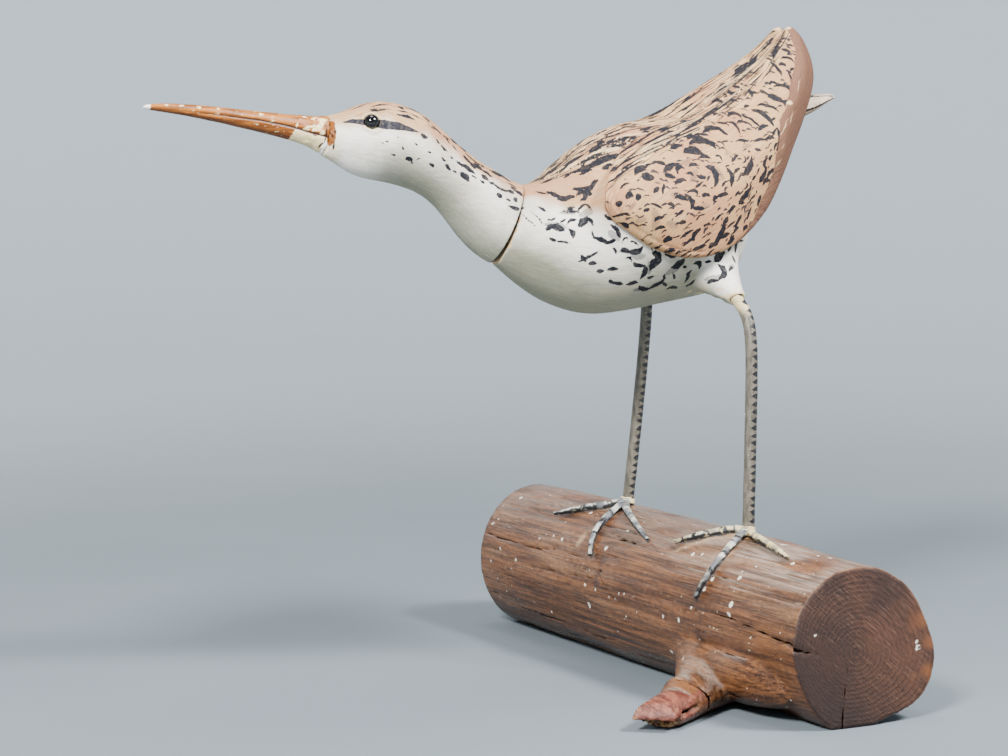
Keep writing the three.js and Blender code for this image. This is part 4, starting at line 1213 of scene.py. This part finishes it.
def make_bill(material):
    piece = carve("bill", "bill_carved", voxel=0.45, rounds=3)
    shape_bill(piece)
    paint_bill(piece)
    finish_piece(piece, material, "bill")


# Legs and feet

# Distance from one dark tick on a leg to the next, and from one bar on a toe to the next
TICK_SPACING = 4.3
BAR_SPACING = 7


def make_leg(side, material):
    name = SIDE_NAMES[side] + "_leg"
    piece = copy_solid(name, name + "_rod")
    modify(piece, "SUBSURF", levels=3, render_levels=3)
    points = points_of(piece)
    z = points[:, 2]
    push(piece, rough(points, (0.2, 0.2, 0.1)) * 0.12 + 0.2)
    bpy.ops.object.shade_smooth()
    normals = normals_of(piece)
    keep(
        piece,
        tick=z / TICK_SPACING,
        tick_side=normals[:, 0] * 0.88 - normals[:, 1] * 0.47,
        cream=ease(z, HIP_HEIGHT - 9, HIP_HEIGHT - 3) * 0.7,
    )
    finish_piece(piece, material, name)


# How cream each toe is and how strongly barred, from the inner toe to the outer: left foot, right foot
TOE_CREAM = {-1: (0.55, 0.12, 0.95), 1: (0.2, 0.1, 0.15)}
TOE_BARRED = {-1: (1, 1, 0.35), 1: (1, 1, 0.6)}


def paint_foot(piece, side):
    points = points_of(piece)
    place = FOOT_PLACES[side]
    ahead = place[0] - points[:, 0]
    aside = points[:, 1] - place[1]
    reach = np.hypot(ahead, aside)
    turn = np.degrees(np.arctan2(aside, ahead))
    toe = np.where(turn > 10, 0, np.where(turn > -52, 1, 2))
    patchy = ease(rough(points, 0.2, 3 + side), -0.3, 0.3)
    root = ease(-reach, -9, -5)
    cream = np.take(TOE_CREAM[side], toe) * (0.45 + 0.55 * patchy)
    keep(
        piece,
        bars=reach / BAR_SPACING,
        barred=np.take(TOE_BARRED[side], toe) * (1 - root),
        cream=np.maximum(cream, root * 0.75),
        # Painted shade on the toes' undersides, away from the root
        undercut=ease(-normals_of(piece)[:, 2], -0.5, -0.1) * (1 - root),
    )


def make_foot(side, material):
    name = SIDE_NAMES[side] + "_foot"
    piece = carve(name, name + "_toes", voxel=0.42, rounds=2, levels=1)
    push(piece, cuts(points_of(piece), (0.35, 0, 0.3), (1, 5, 0.12)) - 0.3)
    paint_foot(piece, side)
    finish_piece(piece, material, name)


# Log

# Cracks in the bark, from above: Y and degrees from the top toward -X, then a half width at each
BARK_CRACKS = [
    ([(30, 52), (25, 62), (20, 73), (14, 79), (5, 86), (-6, 88), (-26, 87), (-62, 82), (-88, 77),
      (-116, 76), (-144, 79), (-164, 81.5), (-179, 82.7)],
     [0.05, 0.2, 0.25, 0.2, 0.2, 0.15, 0.15, 0.15, 0.25, 0.35, 0.5, 0.6, 0.9]),
    ([(168, 65), (149, 67), (122, 66), (96, 66), (78, 64)], [0.35, 0.4, 0.35, 0.3, 0.05]),
    ([(111, 82), (85, 80), (48, 78), (22, 76)], [0.05, 0.25, 0.3, 0.2]),
    ([(116, 122), (101, 125), (84, 126)], [0.1, 0.5, 0.1]),
    ([(34, 40), (12, 43), (-8, 45)], [0.05, 0.3, 0.05]),
]
# Cracks in the near sawn end: x and z, then a half width at each
FACE_CRACKS = [
    ([(-44, 44.8), (-35, 42.4), (-26.3, 40.4)], [1.1, 0.6, 0.1]),
    ([(-9, 35.5), (-11, 20), (-13, -1)], [0.1, 0.35, 0.7]),
]
# Pale chips on the near sawn end and the hole beside them: x, z, size
FACE_CHIPS = [(-30, 51, 1.6), (34, 39, 3), (33, 42, 2), (-14, 60, 0.9), (12, 22, 0.8), (4, 33, 0.8)]
CHIP_HOLE = (35, 39, 1.6)
# White paint specks: Y, degrees from the top, size
PAINT_SPECKS = [
    (157, 28, 3.6), (133, 17, 1.8), (164, 57, 2.4), (144, 75, 2.4), (123, 80, 2.2), (75, 55, 3),
    (86, 54, 2), (36, 83, 3), (24, 84, 2.4), (106, 112, 2), (88, 117, 2.6), (33, 98, 3.6), (69, 27, 2.8),
    (24, 53, 3.2), (8, 87, 2), (-3, 82, 1.8), (-8, 98, 2), (-22, 92, 1.8), (-50, 89, 3.2), (-67, 88, 3.2),
    (-79, 77, 2.4), (17, 35, 2.4), (-58, 40, 3), (-66, 38, 2.6), (-87, 62, 3.4), (-115, 67, 4.6),
    (-116, 74, 3), (-90, 54, 3.4), (-112, 48, 3.6), (-140, 25, 3), (-105, 1, 4.5), (-149, 3, 3),
    (-142, 6, 2.4), (-49, 118, 3.4),
]
# Stains from above: Y, degrees from the top, length, turn, bend, width
WARM_STAINS = [
    (-104, 110, 40, 0, 0, 18), (-79, 108, 26, 0, 0, 16), (-150, 81, 34, 0, 0, 9), (-13, 52, 30, 0, 0, 14),
]
DARK_STAINS = [
    (26, 44, 26, 0, 0, 9), (4, 42, 16, 0, 0, 7), (22, 70, 22, 80, 0, 5), (-10, 76, 40, 0, 0, 6),
    (-160, 34, 26, 0, 0, 9), (-60, 96, 30, 0, 0, 8), (-88, 92, 16, 80, 0, 8),
]
GLUE_SMEARS = [
    (-68, 8, 24, 0, 0, 11), (-54, 27, 34, 40, 0, 5), (-85, 38, 18, 60, 0, 5), (63, 18, 24, 20, 0, 5),
    (48, 33, 16, 70, 0, 4), (55, 51, 9, 75, 0, 5),
]
# The crack that runs right round the stub: how far along the stub it lies
RING_CRACK = 30
# The ring crack's branch into the log: x, y, z
STUB_CRACK_BRANCH = [(-60, -123, 12), (-53, -121, 13), (-47.7, -117, 12.2), (-45.4, -125, 14.5)]
# The gap between the stub's shell and its lower splinter, pushed in and painted dark as painted shadow: along
# the stub, aside, height
SPLINTER_GAP = [(42, 12.5, 10), (50, 12, 8.8), (58, 10.6, 8.2), (63, 5, 5.5), (68, -8, 4)]
SPLINTER_GAP_HALVES = [0.6, 1.4, 1.8, 1.8, 1.4]
SPLINTER_GAP_START = 40


def stub_places(points):
    """Along the stub from its root, to its side, and up."""
    ahead, aside = points[:, 0] - STUB_ROOT[0], points[:, 1] - STUB_ROOT[1]
    along = ahead * STUB_AHEAD[0] + aside * STUB_AHEAD[1]
    out = -ahead * STUB_AHEAD[1] + aside * STUB_AHEAD[0]
    return np.stack([along, out, points[:, 2]], axis=1)


def end_depths(points):
    """Distance in from each sawn end."""
    near = points[:, 1] + LOG_HALF_LENGTH - NEAR_CUT_SKEW * points[:, 0]
    far = LOG_HALF_LENGTH + FAR_CUT_SKEW * points[:, 0] - points[:, 1]
    return near, far


def bark_places(points):
    """Along the log and round it, both in millimetres on a log of middling thickness."""
    turn = np.arctan2(-points[:, 0], points[:, 2] - PITH[1])
    return pair(points[:, 1], turn * BARK_RADIUS)


def around(rows):
    """Rows that start with Y and degrees, with the degrees as millimetres round the log."""
    return [(row[0], math.radians(row[1]) * BARK_RADIUS) + tuple(row[2:]) for row in rows]


def ring_crack(stub):
    """Distance from the crack that runs round the stub."""
    along, aside, level = stub.T
    waver = rough(stub, (0, 0.25, 0.25), 5) * 2
    place = RING_CRACK + np.interp(aside, (-16, -4, 6, 14), (-13, -2, 0, -1)) + waver
    inside = (level < 26) & (np.abs(aside) < 24) & (along < 45)
    width = np.interp(aside, (-14, 4, 12), (0.35, 0.6, 1.2))
    return only(inside, np.abs(along - place) - width)


def face_cracks(points):
    """Cracks and a hole in the near sawn end."""
    face = unpainted(points)
    on_face = pair(points[:, 0], points[:, 2])
    for spine, halves in FACE_CRACKS:
        sweep(face, on_face, spine, halves)
    stroke(face, on_face, (CHIP_HOLE[0], CHIP_HOLE[1], 2, 60, 0, CHIP_HOLE[2]))
    return face


def log_cracks(points):
    """The listed cracks, and many thin ones along the grain."""
    bark = bark_places(points)
    near, far = end_depths(points)
    field = unpainted(points)
    for spine, halves in BARK_CRACKS:
        sweep(field, bark, around(spine), halves)
    hand = random.Random(77)
    for _ in range(90):
        start, turn, length = hand.uniform(-170, 150), hand.uniform(-110, 140), hand.uniform(12, 60)
        lean = hand.uniform(-2, 2)
        spine = around([(start, turn), (start + length / 2, turn + lean), (start + length, turn)])
        sweep(field, bark, spine, [0.05, hand.uniform(0.12, 0.3), 0.05])
    stub = stub_places(points)
    on_stub = (stub[:, 0] > 22) & (points[:, 2] < 26)
    field = only(~on_stub & (np.minimum(near, far) >= 1), field)
    field = np.where(near < 1.2, face_cracks(points), field)
    field = np.minimum(field, ring_crack(stub))
    sweep(field, points, STUB_CRACK_BRANCH, [0.5, 0.5, 0.4, 0.1])
    return field


# How far the broken end reaches along the stub, by the direction from its middle line: degrees, millimetres
BREAK_TURN = (-180, -150, -110, -90, -45, 0, 45, 90, 135, 180)
BREAK_REACH = (76, 66, 60, 61, 62, 64, 58, 56, 67, 76)
# The height of the stub's middle line, where the break's shaping starts along it, and the hollow's depth
STUB_LEVEL = 8.7
BREAK_START = 50
HOLLOW_DEPTH = 7


def snap_stub(piece):
    """Breaks the stub's end, smooth above and torn below, with a gap over its lower splinter.

    The gap's field is returned, because it is painted dark with the cracks, as painted shadow in the gap.
    """
    points = points_of(piece)
    normals = normals_of(piece)
    stub = stub_places(points)
    along, aside, level = stub.T
    rise = level - STUB_LEVEL
    turn = np.degrees(np.arctan2(rise, aside))
    facing = normals[:, 0] * STUB_AHEAD[0] + normals[:, 1] * STUB_AHEAD[1]
    outward = normals[:, 0] * -STUB_AHEAD[1] + normals[:, 1] * STUB_AHEAD[0]
    on_tip = (along > BREAK_START) & (level < 30) & (np.abs(aside) < 20)
    inside = (outward * aside + normals[:, 2] * rise < -1) & (along > BREAK_START + 4)

    # The shell is stretched until its rim lies where the break is wanted
    rim = farthest_reach(turn + 180, along, on_tip, 24, BREAK_START + 4)[1]
    wanted = np.interp(turn, BREAK_TURN, BREAK_REACH) + rough(stub, (0.1, 0.5, 0.5), 21) * 1.6
    share = (wanted - BREAK_START) / (rim - BREAK_START)
    place = BREAK_START + (along - BREAK_START) * share

    # The end is closed by a smooth nose above and a shallow rough hollow below
    nose = 73 - 17 * np.clip(rise / 13, 0, 1) ** 1.4 - aside * 0.35
    hollow = wanted - HOLLOW_DEPTH + rough(stub, (0, 0.7, 0.7), 22) * 2.5
    upper = ease(rise, -4.5, -2)
    closed = hollow * (1 - upper) + nose * upper
    place = np.where((facing > 0.3) | inside, np.maximum(place * (1 - upper), closed), place)
    moved = np.where(on_tip, place - along, 0)
    points[:, 0] += moved * STUB_AHEAD[0]
    points[:, 1] += moved * STUB_AHEAD[1]
    set_points(piece, points)

    stub = stub_places(points)
    torn = np.maximum(1 - upper, ease(-stub[:, 1], 7, 11))
    keep(piece, snapped=ease(facing, 0.15, 0.45) * on_tip * torn)
    gap = unpainted(points)
    sweep(gap, stub, SPLINTER_GAP, SPLINTER_GAP_HALVES)
    past_start = stub[:, 0] > SPLINTER_GAP_START
    push(piece, -3.2 * ease(-gap, -0.8, 0.8) * past_start * (points[:, 2] < 30))
    return only(past_start, gap)


def shape_log(piece):
    """The broken stub, ridges and lumps of the bark, a collar at the stub's root, and cut-in cracks."""
    gap = snap_stub(piece)
    points = points_of(piece)
    near, far = end_depths(points)
    along, aside, level = stub_places(points).T
    bark = ease(np.minimum(near, far), 0.5, 1.6)
    ridges = cuts(points, ((0.2, 0.014, 0.2), 0, 0.4), ((0.6, 0.05, 0.6), 6, 0.18))
    lumps = cuts(points, ((0.05, 0.02, 0.05), 2, 0.7), ((0.14, 0.035, 0.14), 15, 0.45))
    collar = ridge(along, 24, 9) * ease(-aside, -6, 10) * (level < 40) * 3
    sawn = rough(points, (0.5, 0.5, 0.12), 4) * 0.08
    cracks = log_cracks(points)
    # Dark cracks, and painted shadow in the gap over the splinter
    keep(piece, cracks=np.minimum(cracks, gap + 0.6))
    groove = ease(-cracks, -0.5, 0.4) * 0.9
    off_floor = ease(level, 0.5, 3)
    calm = 1 - 0.6 * ease(along, 20, 32) * (level < 26)
    relief = (ridges + lumps) * calm - groove - 0.2
    push(piece, (bark * relief + (1 - bark) * (sawn - groove) + collar) * off_floor)


def ring_turns(points, near, far):
    """Growth rings from the pith out, which take on the log's own outline as they near the bark."""
    ahead, rise = points[:, 0] - PITH[0], points[:, 2] - PITH[1]
    reach = np.hypot(ahead, rise)
    turn = np.degrees(np.arctan2(ahead, rise)) + 180
    share = np.zeros(len(points))
    for depth in (near, far):
        edge, outline = farthest_reach(turn, reach, np.abs(depth) < 2, 60, 20)
        middle = edge.mean()
        own = np.clip(reach / middle, 0, 1)
        found = reach / (middle * (1 - own) + outline * own)
        share = np.where(depth < 8, found, share)
    return share * RING_COUNT


def paint_log(piece):
    points = points_of(piece)
    x, y, z = points.T
    normals = normals_of(piece)
    near, far = end_depths(points)
    depth = np.minimum(near, far)
    on_end = depth < 1.2
    bark = bark_places(points)
    stub = stub_places(points)
    along, aside, level = stub.T
    low = (z < 24) & (np.abs(aside) < 17) & (along > 14)
    past_crack = ease(along - RING_CRACK - ring_crack(stub), 0, 1) * ease(along, 24, 32)
    warm = ease(-strokes(bark, around(WARM_STAINS)), -4, 3)
    warm *= ease(rough(points, (0.12, 0.03, 0.12), 8), -0.3, 0.5)
    right_rim = ease(x, 24, 40) * ease(rough(points, 0.1, 6), -0.2, 0.4)
    stains = ease(-strokes(bark, around(DARK_STAINS)), -3, 2)
    stains *= ease(rough(points, (0.2, 0.05, 0.2), 9), -0.4, 0.3)
    # Painted shade: the sawn end darker toward its lower left
    lower_left_shade = ease(-x - z, -60, 10) * 0.75
    # Dark stains, and painted shade darker toward the bottom of the log
    shade = np.maximum(stains * 0.7, ease(-z, -22, -4) * 0.45)
    worn_top = ease(normals[:, 2], 0.5, 0.9) * ease(rough(points, (0.1, 0.03, 0.1), 10), -0.4, 0.2)
    worn_top *= 0.3 + 0.7 * ease(-y, -40, 120)
    keep(
        piece,
        end=ease(-depth, -1.2, -0.6) * ease(np.abs(normals[:, 1]), 0.55, 0.8),
        rings=ring_turns(points, near, far),
        stub=past_crack * low,
        warm=np.where(on_end, right_rim * 0.6, warm * 0.5),
        # Painted shade on the sawn end; dark stains and painted shade on the bark
        shade=np.where(on_end, lower_left_shade, shade),
        grey=worn_top * 0.95 * (depth > 1),
        smears=strokes(bark, around(GLUE_SMEARS)),
        specks=log_specks(points, bark, near, far),
    )
    slant = x * 0.64 + z * 0.77
    across_slant = x * 0.77 - z * 0.64
    keep_vectors(piece, "saw", np.stack([slant * 1.1, across_slant * 0.05, np.zeros(len(x))], axis=1))


def log_specks(points, bark, near, far):
    """The listed specks, hundreds of small ones more, and the chips on the near end."""
    hand = random.Random(55)
    field = unpainted(points)
    rows = list(PAINT_SPECKS)
    for _ in range(420):
        rows.append((hand.uniform(-172, 170), hand.uniform(-150, 150), hand.triangular(0.8, 2.0, 0.9)))
    for y, turn, size in around(rows):
        wide = size * 0.75
        stroke(field, bark, (y, turn, wide * hand.uniform(0.4, 1.1), hand.uniform(-90, 90), 0, wide))
    marks = [(x, z, size, 40, 0, size) for x, z, size in FACE_CHIPS]
    chips = strokes(pair(points[:, 0], points[:, 2]), marks)
    return np.minimum(only(np.minimum(near, far) >= 0.8, field), only(near < 1, chips))


def make_log(material):
    piece = carve("log", "log_wood", voxel=1.3, rounds=2, levels=1, sharp=50)
    shape_log(piece)
    paint_log(piece)
    finish_piece(piece, material, "log")


# Studio, in metres

LENS = 92.857
CAMERA_PLACE = (-0.789, -1.26385, 0.3033)
CAMERA_RIGHT = Vector((0.882948, -0.469472, 0))
CAMERA_UP = Vector((0.042550, 0.080025, 0.995884))


def make_camera():
    """The photograph's camera, fitted to the object."""
    camera = bpy.data.objects.new("camera", bpy.data.cameras.new("camera"))
    bpy.context.scene.collection.objects.link(camera)
    camera.data.lens = LENS
    camera.data.sensor_width = 36
    back = CAMERA_RIGHT.cross(CAMERA_UP)
    turn = Matrix((CAMERA_RIGHT, CAMERA_UP, back)).transposed().to_4x4()
    camera.matrix_world = Matrix.Translation(CAMERA_PLACE) @ turn
    bpy.context.scene.camera = camera


# The paper's section from the middle outward: radius and height
PAPER_SECTION = [(1.0, 0), (2.1, 0), (2.6, 0.05), (3.0, 0.25), (3.3, 0.7), (3.4, 1.4), (3.4, 2.6)]


def paper_finish():
    material, tree, shader = new_finish("studio_paper", Specular_IOR_Level=0.15)
    where = link(tree, "TexCoord").outputs["Object"]
    away = link(tree, "VectorMath", {0: where}, operation="LENGTH").outputs["Value"]
    # Painted light: the paper darker near the middle and brighter out on the wall, standing in for the light
    # on the backdrop
    near = blend(speckle(tree, 3), colour(103, 112, 118), colour(116, 125, 131))
    base = blend(span(away, 0.4, 2.6), near, colour(206, 216, 222))
    fine = speckle(tree, 600)
    connect(shader, base, span(fine, 0.0, 1.0, 0.75, 0.9), raised(fine, 0.05, 0.1))
    return material


def make_floor():
    """A flat disc that sweeps up into a wall all round, so every side has the same plain ground."""
    bpy.ops.object.select_all(action="DESELECT")
    bpy.ops.mesh.primitive_circle_add(vertices=96, radius=PAPER_SECTION[0][0], fill_type="NGON")
    floor = bpy.context.object
    floor.name = "studio_floor"
    bpy.ops.object.mode_set(mode="EDIT")
    bpy.ops.mesh.select_mode(type="EDGE")
    bpy.ops.mesh.select_all(action="SELECT")
    bpy.ops.mesh.region_to_loop()
    for inner, outer in zip(PAPER_SECTION, PAPER_SECTION[1:]):
        bpy.ops.mesh.extrude_edges_move()
        bpy.ops.transform.resize(value=(outer[0] / inner[0], outer[0] / inner[0], 1))
        bpy.ops.transform.translate(value=(0, 0, outer[1] - inner[1]))
    bpy.ops.mesh.select_all(action="SELECT")
    bpy.ops.mesh.normals_make_consistent(inside=True)
    bpy.ops.object.mode_set(mode="OBJECT")
    modify(floor, "SUBSURF", levels=1, render_levels=1)
    bpy.ops.object.shade_smooth()
    floor.data.materials.append(paper_finish())


LAMP_TARGET = Vector((-0.05, 0, 0.2))


def make_light(name, place, size, watts, tint=(1, 1, 1)):
    light = bpy.data.lights.new(name, "AREA")
    light.size = size
    light.energy = watts
    light.color = tint
    lamp = bpy.data.objects.new(name, light)
    bpy.context.scene.collection.objects.link(lamp)
    lamp.location = place
    aim = LAMP_TARGET - Vector(place)
    lamp.rotation_euler = aim.to_track_quat("-Z", "Y").to_euler()


def make_studio():
    make_floor()
    make_light("right_lamp", (0.6, -1.1, 1.6), 0.4, 85)
    make_light("left_lamp", (-1.45, -1.2, 1.4), 0.4, 112)
    make_light("top_lamp", (-0.1, 0.1, 2.2), 0.8, 18)
    make_light("rear_lamp", (-0.3, 1.6, 1.2), 0.6, 6, (1, 0.9, 0.8))
    world = bpy.data.worlds.new("studio_air")
    bpy.context.scene.world = world
    world.use_nodes = True
    air = world.node_tree.nodes["Background"]
    air.inputs["Color"].default_value = (0.88, 0.94, 1, 1)
    air.inputs["Strength"].default_value = 0.35


make_camera()
make_studio()
plumage = plumage_finish()
wing_paint = wing_finish()
eye_glass = eye_finish()
leg_paint = leg_finish()
toe_paint = toe_finish()
make_log(log_finish())
make_body(plumage)
make_head(plumage)
make_bill(bill_finish())
for side in (-1, 1):
    make_wing(side, wing_paint)
    make_eye(side, eye_glass)
    make_leg(side, leg_paint)
    make_foot(side, toe_paint)
